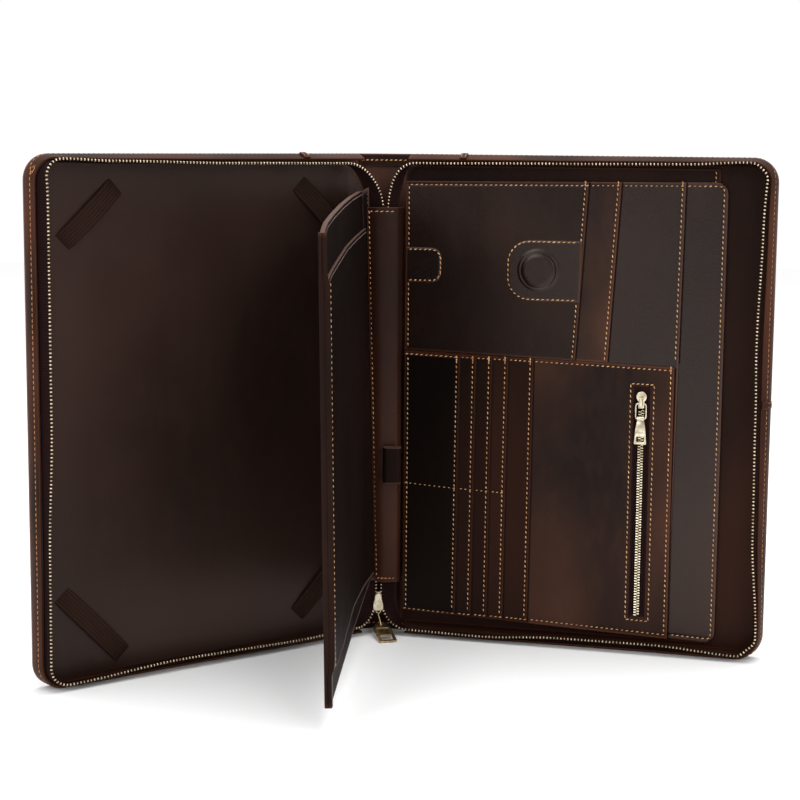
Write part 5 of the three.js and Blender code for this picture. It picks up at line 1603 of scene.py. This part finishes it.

# %% [markdown]
# Five card slots lie on the lower pocket like steps, each narrower than the one behind it and a little
# lower. The inner ones, nearer the spine, get darker copies of the leather, as painted shade.

# %% Card slots
# A darker copy of the brown leather: painted shade for the third and fourth card slots.
slot_shade_leather = leather("slot_shade_leather", (13, 7, 5), (23, 12, 8), (36, 19, 13), (60, 32, 22),
                       (0.34, 0.48), 0.07)
card_finishes = (brown_leather, brown_leather, slot_shade_leather, slot_shade_leather, deep_shade_leather)
cards = []
for number, wide in enumerate(CARD_WIDTHS):
    shrink = CARD_STEP * (number + 1)
    depth = THIRD_DEPTH + number * (LAYER + GAP)
    card = layer(wide, wide + CARD_LEAN, lambda u, s=shrink: panel_bottom(u) + s,
                 lambda u, s=shrink: lower_top(u) - s, depth, sewn="rtbl")
    cards.append(card)
    name = "card_slot_" + str(number + 1)
    card.made(name + "_leather", card_finishes[number], "leather", [name], step=11, rim=0.4)
print("card slots made:", len(cards))

# %% [markdown]
# Beside the free edge of each pocket lies a thin near-black bead: a painted shadow for the shade beside the
# pocket's rim. It is laid as a half round strip, and it is what draws the dark line beside every row of
# sewing.

# %% Painted shadow beads
BEAD = 0.6
BEAD_TURNS = (-1.5, -0.9, -0.3, 0.3, 0.9, 1.5)
# A near-black finish for the beads of painted shadow beside the pocket rims.
painted_shadow = leather("painted_shadow", (9, 5, 4), (14, 8, 6), (22, 12, 9), (22, 12, 9), (0.4, 0.5), 0.1)


def shadow_bead(name, panel, low=0.5):
    rows = []
    for turn in BEAD_TURNS:
        x = panel.wide + 0.15 + BEAD * math.cos(turn)
        lift = panel.thickness * 0.55 + BEAD * math.sin(turn)
        rows.append([panel.at(x, y, lift) for y in np.linspace(low, panel.tall - 0.3, 40)])
    bead = laid_sheet(name, rows, 0.15, outward_u(panel.cover), rim=0.05, grow=-1.0, worn=0.01)
    return dress(bead, painted_shadow)


# Each bead is a painted shadow along one pocket's free edge.
shadow_bead("tall_pocket_shadow_bead", tall, lower_top(TALL_WIDTH) - panel_bottom(TALL_WIDTH))
shadow_bead("pen_pocket_shadow_bead", pen)
shadow_bead("upper_pocket_shadow_bead", upper)
shadow_bead("lower_pocket_shadow_bead", lower)
for number, card in enumerate(cards):
    shadow_bead("card_slot_shadow_bead_" + str(number + 1), card)
print("shadow beads made:", 4 + len(cards))

# %% [markdown]
# The sewing of the organiser is what the eye reads first. Each free edge has a row beside it, and rows
# round the outside hold the whole stack down. Where a row crosses several layers, it climbs with them.

# %% Organiser sewing
INSET = 2.4
KNOT = Matrix.Diagonal((0.85, 1.45, 1.5, 1))


def edge_row(panel, low=2.0, high=2.0):
    x = panel.wide - panel.inset
    places = panel.sew([(x, low), (x, panel.tall - high)])
    axes = places[-1].to_3x3().to_4x4()
    for down in (0.4, 2.1):
        places.append(Matrix.Translation(panel.front(x, panel.tall - down)) @ axes @ KNOT)
    return places


rows = edge_row(tall, lower_top(TALL_WIDTH) - panel_bottom(TALL_WIDTH) + 2, 3)
rows += edge_row(pen, 1, 3)
rows += edge_row(upper, 1, 3)
rows += edge_row(lower, 4, 2)
for card in cards:
    rows += edge_row(card, 4, 2)
rear_sew = rear.wide - 3.2
rows += rear.sew([(rear_sew, rear.tall - 1), (rear_sew, rear.tall - 14)])
copies("pocket_edge_stitches", stitch_shape, rows, tan_thread)

OUTER_SEW = 2.6
organiser_high = organiser.tall - OUTER_SEW
organiser_far = organiser.wide - OUTER_SEW
round_row = organiser.sew([
    (tall.wide + 3, organiser_high), (organiser_far, organiser_high), (organiser_far, OUTER_SEW),
    (tall.wide, OUTER_SEW),
])
upper_high = upper.tall - OUTER_SEW
top_row = upper.sew([(INSET, upper_high), (upper.wide + UPPER_LEAN / 2 - 3, upper_high)])


def along_top(first_u, last_u, depth, z_of):
    count = max(2, round((last_u - first_u) / 2))
    points = []
    for k in range(count + 1):
        u = mix(first_u, last_u, k / count)
        z = z_of(u)
        points.append(spot(right, u, depth + LAYER + SEW_LIFT - GROOVE + swell(right, u, z), z))
    return sewn_row(points, inward(right))


def under_panel_top(u):
    return panel_top(u) - 2.6


def over_panel_bottom(u):
    return panel_bottom(u) + 2.8


def under_lower_top(u):
    return lower_top(u) - 2.3


upper_end = UPPER_WIDTH + UPPER_LEAN
pen_end = PEN_WIDTH + UPPER_LEAN
top_row += along_top(upper_end + 1, pen_end - 1, SECOND_DEPTH, under_panel_top)
top_row += along_top(pen_end + 1, TALL_WIDTH + TALL_LEAN - 1, TALL_DEPTH, under_panel_top)
left_row = upper.sew([(INSET, 2), (INSET, upper.tall - 3)])
left_row += cards[-1].sew([(INSET, 2), (INSET, cards[-1].tall - 2)])
STEP_ROOM = 1.5
steps = [(layer_start(THIRD_DEPTH) + 1, CARD_WIDTHS[4], THIRD_DEPTH + 4 * (LAYER + GAP))]
for number in (3, 2, 1, 0):
    card_depth = THIRD_DEPTH + number * (LAYER + GAP)
    steps.append((CARD_WIDTHS[number + 1] + STEP_ROOM, CARD_WIDTHS[number], card_depth))
steps.append((CARD_WIDTHS[0] + STEP_ROOM, LOWER_WIDTH - 1, SECOND_DEPTH))
cross_rows = []
for first_u, last_u, depth in steps:
    cross_rows += along_top(first_u, last_u, depth, under_lower_top)
    cross_rows += along_top(first_u, last_u, depth, over_panel_bottom)
CARD_FLOOR = (113.9, 109.2)
CARD_FLOOR_END = 79


def card_floor(u):
    return mix(*CARD_FLOOR, u / CARD_FLOOR_END)


for first_u, last_u, depth in steps[:4]:
    cross_rows += along_top(first_u, min(last_u, CARD_FLOOR_END), depth, card_floor)
outer_rows = round_row + top_row + left_row + cross_rows
copies("organiser_stitches", stitch_shape, outer_rows, tan_thread)
print("organiser sewn with", len(rows) + len(outer_rows), "stitches")

# %% [markdown]
# Two magnets are sewn under the upper pocket's leather: a small tongue at the spine side, and a large one
# with a round magnet. Each is a low pad whose rim sinks into the pocket, so it reads as one hide with
# something under it, and the sewing runs round its foot.

# %% Magnet pads
PAD = 0.8
PAD_SINK = 0.5
PAD_SLOPE = 1.3
PAD_RISE = 0.4
SMALL_MIDDLE = COVER_HEIGHT - 78.5
LARGE_MIDDLE = COVER_HEIGHT - 80.5
SMALL_PAD = (28, 25, SMALL_MIDDLE, 8)
LARGE_PAD = (78.5, 43, LARGE_MIDDLE, 17)
SMALL_SEW = (INSET + 4, LAYER_LEFT + 27.5, SMALL_MIDDLE, 11, 7)
MAGNET_U = 101
MAGNET_RADIUS = 14


def pad(name, panel, finish, open_side):
    def rise(x, y):
        gaps = [y, panel.tall - y, panel.wide - x if open_side == "l" else x]
        return PAD_RISE - GAP - PAD - PAD_SINK * (1 - soft(min(gaps) / PAD_SLOPE))
    return panel.made(name + "_leather", finish, "lining_leather", [name], step=4, rim=0.2, lift=rise)


wide, high, middle, corner = SMALL_PAD
start = layer_start(PAD_DEPTH)
small = Panel(right, [(start, middle - high / 2), (LAYER_LEFT + wide, middle - high / 2),
                      (LAYER_LEFT + wide, middle + high / 2), (start, middle + high / 2)],
              PAD_DEPTH, PAD, radii=(0, corner, corner, 0))
pad("small_magnet_pad", small, organiser_leather, "l")
start, high, middle, corner = LARGE_PAD
pad_end = UPPER_WIDTH + UPPER_LEAN * 0.45
large = Panel(right, [(start, middle - high / 2), (pad_end - 1, middle - high / 2),
                      (pad_end, middle + high / 2), (start, middle + high / 2)],
              PAD_DEPTH, PAD, radii=(corner, 0, 0, corner))
pad("large_magnet_pad", large, organiser_leather, "r")


def on_upper(u, z, lift=PAD_RISE + 0.06):
    return spot(right, u, THIRD_DEPTH + LAYER + lift + swell(right, u, z), z)


def u_shape(start_u, end_u, middle, half, corner):
    way = 1 if end_u > start_u else -1
    straight = half - corner

    def bend(turn, side):
        rise = half - corner * (1 - math.sin(turn))
        return on_upper(end_u - way * corner * (1 - math.cos(turn)), middle + side * rise)

    points = [on_upper(mix(start_u, end_u - way * corner, k / 12), middle + half) for k in range(12)]
    points += [bend(math.pi / 2 * (1 - k / 12), 1) for k in range(13)]
    points += [on_upper(end_u, middle + mix(straight, -straight, k / 8)) for k in range(1, 8)]
    points += [bend(math.pi / 2 * k / 12, -1) for k in range(13)]
    points += [on_upper(mix(end_u - way * corner, start_u, k / 12), middle - half) for k in range(1, 13)]
    return sewn_row(points, inward(right))


LARGE_SEW = (pad_end - 4, 79.5, LARGE_MIDDLE, 20.3, 15)
pad_rows = u_shape(*SMALL_SEW) + u_shape(*LARGE_SEW)
copies("magnet_pad_stitches", stitch_shape, pad_rows, tan_thread)
print("magnet pads made")

# %% [markdown]
# The round magnet shows as a raised disc with a pressed ring. It starts as a cylinder of many sides whose
# top face is inset and moved several times, which is how a lathe profile is drawn by hand.

# %% Magnet disc
MAGNET_SIDES = 64
MAGNET_FOOT = 1.6
MAGNET_PROFILE = (
    (1.0, 0.15), (0.9, 0.4), (0.7, 0.2), (0.4, -0.35), (0.4, 0.0), (0.4, 0.32), (3, 0.05), (4, -0.1),
)
magnet_depth = THIRD_DEPTH + LAYER + PAD_RISE - 0.28 + swell(right, MAGNET_U, LARGE_MIDDLE)
clear_selection()
bpy.ops.mesh.primitive_cylinder_add(vertices=MAGNET_SIDES, radius=MAGNET_RADIUS + MAGNET_FOOT, depth=0.5)
magnet = bpy.context.object
bpy.ops.object.mode_set(mode="EDIT")
bpy.ops.mesh.select_all(action="DESELECT")
bpy.ops.object.mode_set(mode="OBJECT")
for face in magnet.data.polygons:
    face.select = face.normal.z > 0.9
bpy.ops.object.mode_set(mode="EDIT")
for inset, move in MAGNET_PROFILE:
    bpy.ops.mesh.inset(thickness=inset, depth=0)
    bpy.ops.transform.translate(value=(0, 0, move))
bpy.ops.object.mode_set(mode="OBJECT")


def seat(piece, axes):
    for vertex in piece.data.vertices:
        vertex.co = (axes @ vertex.co + SPINE_AT) * MM
    piece.matrix_world = Matrix.Identity(4)
    piece.data.update()
    return piece


def cover_axes(cover, u, n, z):
    ahead = inward(cover)
    side = outward_u(cover) * cover["side"]
    turned_axes = Matrix((side, Vector((0, 0, 1)), ahead)).transposed().to_4x4()
    return Matrix.Translation(spot(cover, u, n, z)) @ turned_axes


seat(magnet, cover_axes(right, MAGNET_U, magnet_depth, LARGE_MIDDLE))
magnet.name = "magnet_disc"
bpy.ops.object.shade_smooth_by_angle(angle=math.radians(60))
dress(magnet, organiser_leather, "lining_leather", ["magnet_cover"])
print("magnet disc made")

# %% [markdown]
# The lower pocket's zip lies in the window: a tape, two rows of fine teeth that mesh, and a slider at the
# top. A sewn rectangle holds the tape behind the leather.

# %% Pocket zip
POCKET_TAPE = 0.7
POCKET_PITCH = 1.9
POCKET_TOOTH = {"long": 2.5, "wide": 1.1, "thick": 1.5, "nose": 0.55}
TEETH_ASIDE = 0.85
TEETH_LIFT = 1.55
SLIDER_TOP = WINDOW_TOP - 3
SLIDER_LONG = 12
SLIDER_WIDE = 7.6
SLIDER_THICK = 2.6
SLIDER_LOW = SLIDER_TOP - SLIDER_LONG
CHAIN_PLACE = SECOND_DEPTH + POCKET_TAPE + GAP


def on_tape(x, z, lift):
    return spot(right, WINDOW_MIDDLE + x, SECOND_DEPTH + lift, z)


tape_x = (-5.9, -4.5, -3, -1.6, -0.5, 0.5, 1.6, 3, 4.5, 5.9)
rows = []
for z in np.linspace(WINDOW_BOTTOM - 0.6, WINDOW_TOP + 0.6, 40):
    rows.append([on_tape(x, z, -0.25 + (0.25 if abs(x) < 2 else 0)) for x in tape_x])
tape = laid_sheet("pocket_zip_band", rows, POCKET_TAPE, inward(right), rim=0.2, worn=0.01)
dress(tape, tape_weave, "zip_tape", ["pocket_zip_tape"])

pocket_tooth = tooth(**POCKET_TOOTH)
places = []
count = int((SLIDER_LOW - WINDOW_BOTTOM - 1) / POCKET_PITCH)
up_way = Vector((0, 0, 1))
for side in (-1, 1):
    across = outward_u(right) * side
    axes = Matrix((up_way, across, up_way.cross(across))).transposed().to_4x4()
    for k in range(count):
        z = WINDOW_BOTTOM + 1.2 + (k + (0.5 if side > 0 else 0)) * POCKET_PITCH
        places.append(Matrix.Translation(on_tape(side * TEETH_ASIDE, z, TEETH_LIFT)) @ axes)
copies("pocket_zip_teeth_rows", pocket_tooth, places, pale_metal, "pale_metal", ["pocket_zip_teeth"],
       smooth=30)


def on_pocket(x, z):
    u = WINDOW_MIDDLE + x
    return spot(right, u, SECOND_DEPTH + LAYER + SEW_LIFT + swell(right, u, z), z)


WINDOW_SEW = ((-8.0, 22.5), (-8.0, 192.1), (8.4, 191.7), (8.4, 21.9), (-8.0, 22.5))
window_row = []
for start, end in zip(WINDOW_SEW, WINDOW_SEW[1:]):
    window_row += sewn_row(walked((start, end), on_pocket), inward(right))
copies("pocket_zip_stitches", stitch_shape, window_row, tan_thread)
print("pocket zip has", len(places), "teeth")

# %% [markdown]
# Metal plates start as a circle of points moved onto the part's outline, filled and extruded. Holes are
# cut with a Boolean, and a Bevel rounds every rim as casting and tumbling do.

# %% Helpers for metal parts
def outline_points(corners, steps=5):
    points = []
    count = len(corners)
    for k, (x, y, r) in enumerate(corners):
        here = Vector((x, y))
        if r == 0:
            points.append(here)
            continue
        before = (Vector(corners[k - 1][:2]) - here).normalized()
        after = (Vector(corners[(k + 1) % count][:2]) - here).normalized()
        for step in range(steps + 1):
            t = step / steps
            points.append(here + before * r * (1 - t) ** 2 + after * r * t ** 2)
    return points


def slot_points(half, low, high, r):
    return outline_points([(-half, low, r), (half, low, r), (half, high, r), (-half, high, r)])


def round_points(radius, count=24, centre=(0, 0)):
    turns = [2 * math.pi * k / count for k in range(count)]
    return [Vector((centre[0] + radius * math.cos(t), centre[1] + radius * math.sin(t))) for t in turns]


def plate(points, low, high):
    clear_selection()
    bpy.ops.mesh.primitive_circle_add(vertices=len(points), radius=1, fill_type="NGON")
    piece = bpy.context.object
    for vertex, point in zip(piece.data.vertices, points):
        vertex.co = (point.x, point.y, low)
    bpy.ops.object.mode_set(mode="EDIT")
    bpy.ops.mesh.select_all(action="SELECT")
    bpy.ops.mesh.extrude_region_move(TRANSFORM_OT_translate={"value": (0, 0, high - low)})
    bpy.ops.mesh.select_all(action="SELECT")
    bpy.ops.mesh.normals_make_consistent(inside=False)
    bpy.ops.object.mode_set(mode="OBJECT")
    return piece


def combine(piece, other, operation):
    pick(piece)
    apply_modifier(piece, "BOOLEAN", object=other, operation=operation, solver="EXACT")
    bpy.data.objects.remove(other)
    return piece


def finished_metal(piece, name, rim, axes, finish, slot_name, nodes, body=BODY, segments=2):
    pick(piece)
    apply_modifier(piece, "BEVEL", width=rim, segments=segments, limit_method="ANGLE",
                   angle_limit=math.radians(35))
    seat(piece, axes)
    piece.name = name
    bpy.ops.object.shade_smooth_by_angle(angle=math.radians(40))
    return dress(piece, finish, slot_name, nodes, body)


def wire_loop(name, path, radius, flat_normal, finish, slot_name, nodes, body=BODY, sides=10):
    count = len(path)
    rows = []
    for side in range(sides + 1):
        turn = 2 * math.pi * side / sides
        row = []
        for k in range(count + 1):
            here = path[k % count]
            way = (path[(k + 1) % count] - path[k - 1 if k % count else count - 1]).normalized()
            across = way.cross(flat_normal).normalized()
            row.append(here + (across * math.cos(turn) + flat_normal * math.sin(turn)) * radius)
        rows.append(row)
    piece = laid_sheet(name, rows, 0, rows[0][0] - path[0], closed=True, smooth=80)
    return dress(piece, finish, slot_name, nodes, body)


# %% [markdown]
# The pocket slider is a small cast body with a narrow neck, a round crown and a bridge. Its link hangs from
# the bridge, and the link carries a long pull that widens downwards and has a slot at its end. Link and
# pull swing together, so they ride on their own body.

# %% Pocket slider, link and pull
LINK_WIRE = 1.3
LINK_WIDE = 8.6
LINK_LONG = 12
slider_face = CHAIN_PLACE + SLIDER_THICK
link_depth = slider_face + 0.6
bridge_inner = link_depth + LINK_WIRE + 0.45
bridge_low = SLIDER_LOW + 1.2
bridge_high = SLIDER_TOP - 3.4
link_top = bridge_low + 1.3 + 0.5 + LINK_WIRE
half = SLIDER_WIDE / 2
slider_axes = cover_axes(right, WINDOW_MIDDLE, CHAIN_PLACE, SLIDER_LOW)
body_neck = [Vector((1.7, 0)), Vector((2.3, 0.6)), Vector((2.3, 4.2))]
crown_turns = np.linspace(-0.95, math.pi + 0.95, 22)
crown_y = SLIDER_LONG - half
crown = [Vector((half * math.cos(turn), crown_y + half * math.sin(turn))) for turn in crown_turns]
body_points = body_neck + crown + [Vector((-p.x, p.y)) for p in reversed(body_neck)]
slider = plate(body_points, 0, SLIDER_THICK)
finished_metal(slider, "pocket_slider_body", 0.55, slider_axes, pale_metal, "pale_metal", ["pocket_slider"],
               segments=3)

ARCH_WALL = 1.3
ARCH_HALF = 1.1
arch_low = bridge_low - SLIDER_LOW
arch_high = bridge_high - SLIDER_LOW
arch_top = bridge_inner + ARCH_WALL - CHAIN_PLACE
arch_foot = SLIDER_THICK - 0.5
hollow_low = arch_low + ARCH_WALL
hollow_high = arch_high - ARCH_WALL
hollow_top = bridge_inner - CHAIN_PLACE
arch = plate(outline_points([(arch_low, arch_foot, 0), (arch_high, arch_foot, 0), (arch_high, arch_top, 1.6),
                             (arch_low, arch_top, 1.6)]), -ARCH_HALF, ARCH_HALF)
hollow = plate(outline_points([(hollow_low, SLIDER_THICK, 0), (hollow_high, SLIDER_THICK, 0),
                               (hollow_high, hollow_top, 0.8), (hollow_low, hollow_top, 0.8)]), -2, 2)
combine(arch, hollow, "DIFFERENCE")
stand = Matrix(((0, 0, 1, 0), (1, 0, 0, 0), (0, 1, 0, 0), (0, 0, 0, 1)))
finished_metal(arch, "pocket_slider_bridge", 0.25, slider_axes @ stand, pale_metal, "pale_metal", [])

link_middle = link_top - LINK_LONG / 2
ring = rounded_box(LINK_WIDE - LINK_WIRE, LINK_LONG - LINK_WIRE, 1.7, 5)
path = [spot(right, WINDOW_MIDDLE + x, link_depth + LINK_WIRE / 2, link_middle + y) for x, y in ring]
wire_loop("pocket_link_wire", path, LINK_WIRE / 2, inward(right), pale_metal, "antique_brass",
          ["pocket_link"], PULL_BODY)
print("pocket slider and link made")

# %% [markdown]
# The pull is a plate with an open slot at its wide end and a shallow pressed line near its top. A short
# barrel lies across the top and holds the link's wire.

# %% Pocket pull
TAB_LONG = 18
TAB_THICK = 1.6
TAB_TOP = 2.5
TAB_END = -TAB_LONG
CUTTER = 3
tab_bar = link_top + LINK_WIRE / 2 - LINK_LONG
tab_axes = cover_axes(right, WINDOW_MIDDLE, link_depth + LINK_WIRE / 2, tab_bar)
tab = plate(outline_points([(-4.4, TAB_END, 0.8), (4.4, TAB_END, 0.8), (3.5, -7, 1.5), (TAB_TOP, -1.4, 0),
                            (-TAB_TOP, -1.4, 0), (-3.5, -7, 1.5)]), -TAB_THICK / 2, TAB_THICK / 2)
combine(tab, plate(slot_points(2.7, TAB_END + 1.8, TAB_END + 5.4, 0.5), -CUTTER, CUTTER), "DIFFERENCE")
combine(tab, plate(slot_points(3.0, -8.6, -7.7, 0.3), TAB_THICK / 2 - 0.35, 2), "DIFFERENCE")
finished_metal(tab, "pocket_pull_tab", 0.28, tab_axes, pale_metal, "antique_brass", ["pocket_tab"], PULL_BODY)
barrel = plate(round_points(1.9, 24), -TAB_TOP, TAB_TOP)
combine(barrel, plate(round_points(1.15, 20), -4, 4), "DIFFERENCE")
finished_metal(barrel, "pocket_pull_barrel", 0.2, tab_axes @ stand, pale_metal, "antique_brass", [],
               PULL_BODY)
print("pocket pull made")

# %% [markdown]
# The main slider has two pear-shaped plates with the teeth running between them, a post that joins them,
# and an eye below for its link.

# %% Main slider
PEAR_BOTTOM = 18.8
PEAR_LONG = 12.8
PEAR_WIDE = 7.6
PEAR_NECK = 4.8
PEAR_PLATE = 1.3
CHANNEL = 4.8
EYE_HOLE = 1.2
EYE_RIM = 0.7
EYE_DROP = 1.9
EYE_FOOT = 0.9
slider_y = CHAIN_Y - 1
slider_x = chain_x(PEAR_BOTTOM + PEAR_LONG / 2)


def pear(steps=8):
    half = PEAR_WIDE / 2
    neck = PEAR_NECK / 2
    round_end = PEAR_LONG * 0.14
    waist = PEAR_LONG * 0.55
    flat = [Vector((half - round_end, 0, 0)), Vector((half - 0.3, 0.4, 0)), Vector((half, round_end, 0))]
    side = [bezier(Vector((half, round_end, 0)), Vector((half, waist, 0)), Vector((neck, waist, 0)),
                   Vector((neck, PEAR_LONG - round_end, 0)), k / steps) for k in range(1, steps + 1)]
    top = [Vector((neck - 0.45, PEAR_LONG - 0.65, 0)), Vector((neck * 0.5, PEAR_LONG - 0.12, 0))]
    right_side = flat + side + top
    points = [p.xy for p in right_side] + [Vector((0, PEAR_LONG))]
    return points + [Vector((-p.x, p.y)) for p in reversed(right_side)]


upright = Matrix(((1, 0, 0, 0), (0, 0, -1, 0), (0, 1, 0, 0), (0, 0, 0, 1)))
pear_axes = Matrix.Translation((slider_x, slider_y, PEAR_BOTTOM)) @ upright
half_channel = CHANNEL / 2
plate_back = -half_channel - PEAR_PLATE
front_plate = plate(pear(), half_channel, half_channel + PEAR_PLATE)
finished_metal(front_plate, "main_slider_front", 0.5, pear_axes, pale_metal, "pale_metal", ["main_slider"],
               segments=3)
back_plate = plate(pear(), plate_back, -half_channel)
finished_metal(back_plate, "main_slider_back", 0.4, pear_axes, pale_metal, "pale_metal", [])
post = plate(slot_points(0.7, 0.1, 1.6, 0.2), -half_channel - 0.5, half_channel + 0.5)
finished_metal(post, "main_slider_post", 0.15, pear_axes, pale_metal, "pale_metal", [])
reach = EYE_HOLE + EYE_RIM
eye_turns = np.linspace(math.pi, 2 * math.pi, 15)
eye_points = [Vector((reach, EYE_FOOT)), Vector((-reach, EYE_FOOT))]
eye_points += [Vector((reach * math.cos(t), -EYE_DROP + reach * math.sin(t))) for t in eye_turns]
eye = plate(eye_points, plate_back, -half_channel)
combine(eye, plate(round_points(EYE_HOLE, 24, (0, -EYE_DROP)), -9, 0), "DIFFERENCE")
finished_metal(eye, "main_slider_eye", 0.22, pear_axes, pale_metal, "pale_metal", [])
print("main slider made")

# %% [markdown]
# The link is a bent wire, and the pull lies with its far end on the ground. The pull has a solid head with
# a hole for the link and an open window below.

# %% Main link and pull
MAIN_WIRE = 1.2
LINK_INNER = 1.6
PULL_LONG = 25
PULL_WIDE = 13
PULL_THICK = 1.5
PULL_RIM = 2
PULL_SHIFT = 2.0
PULL_TURN = math.radians(15)
HEAD_TOP = 2.7
HEAD_LOW = -2.3
PULL_PRESS = 0.3
eye_y = slider_y + CHANNEL / 2 + PEAR_PLATE / 2
eye_z = PEAR_BOTTOM - EYE_DROP
wire_middle = LINK_INNER + MAIN_WIRE / 2
link_start = Vector((eye_y, eye_z - wire_middle))
pull_hole = Vector((eye_y - 4.8, 7.0))
pull_rest = PULL_THICK / 2 + 0.15
pull_reach = PULL_LONG - PULL_RIM
pull_slope = math.asin((pull_hole.y - pull_rest) / pull_reach)
link_end = pull_hole + Vector((math.cos(pull_slope), math.sin(pull_slope))) * wire_middle
along = (link_end - link_start).normalized()
across = Vector((-along.y, along.x))
path = []
for centre, start in ((link_start, 0), (link_end, math.pi)):
    for k in range(9):
        turn = start + math.pi * k / 8
        point = centre + across * math.cos(turn) * wire_middle - along * math.sin(turn) * wire_middle
        aside = PULL_SHIFT * (point - link_start).dot(along) / (link_end - link_start).length
        path.append(Vector((slider_x + aside, point.x, point.y)))
wire_loop("main_link_wire", path, MAIN_WIRE / 2, toward_right, antique_brass, "antique_brass", ["main_link"])

half = PULL_WIDE / 2
inner = half - PULL_RIM
end = -pull_reach
pull = plate(outline_points([(half * 0.5, HEAD_TOP, 1.2), (-half * 0.5, HEAD_TOP, 1.2),
                             (-half, HEAD_LOW, 1.5), (-half, end, 1), (half, end, 1),
                             (half, HEAD_LOW, 1.5)]), -PULL_THICK / 2, PULL_THICK / 2)
combine(pull, plate(round_points(1.25, 24), -CUTTER, CUTTER), "DIFFERENCE")
combine(pull, plate(slot_points(inner, end + 2, end + 8.5, 1), -CUTTER, CUTTER), "DIFFERENCE")
combine(pull, plate(slot_points(inner, -7.6, -4.2, 0.6), PULL_THICK / 2 - PULL_PRESS, 3), "DIFFERENCE")
pull_place = Matrix.Translation((slider_x + PULL_SHIFT, pull_hole.x, pull_hole.y))
pull_axes = pull_place @ Matrix.Rotation(PULL_TURN, 4, "Z") @ Matrix.Rotation(pull_slope, 4, "X")
finished_metal(pull, "main_pull_plate", 0.3, pull_axes, antique_brass, "antique_brass", ["main_pull"])
print("main link and pull made")
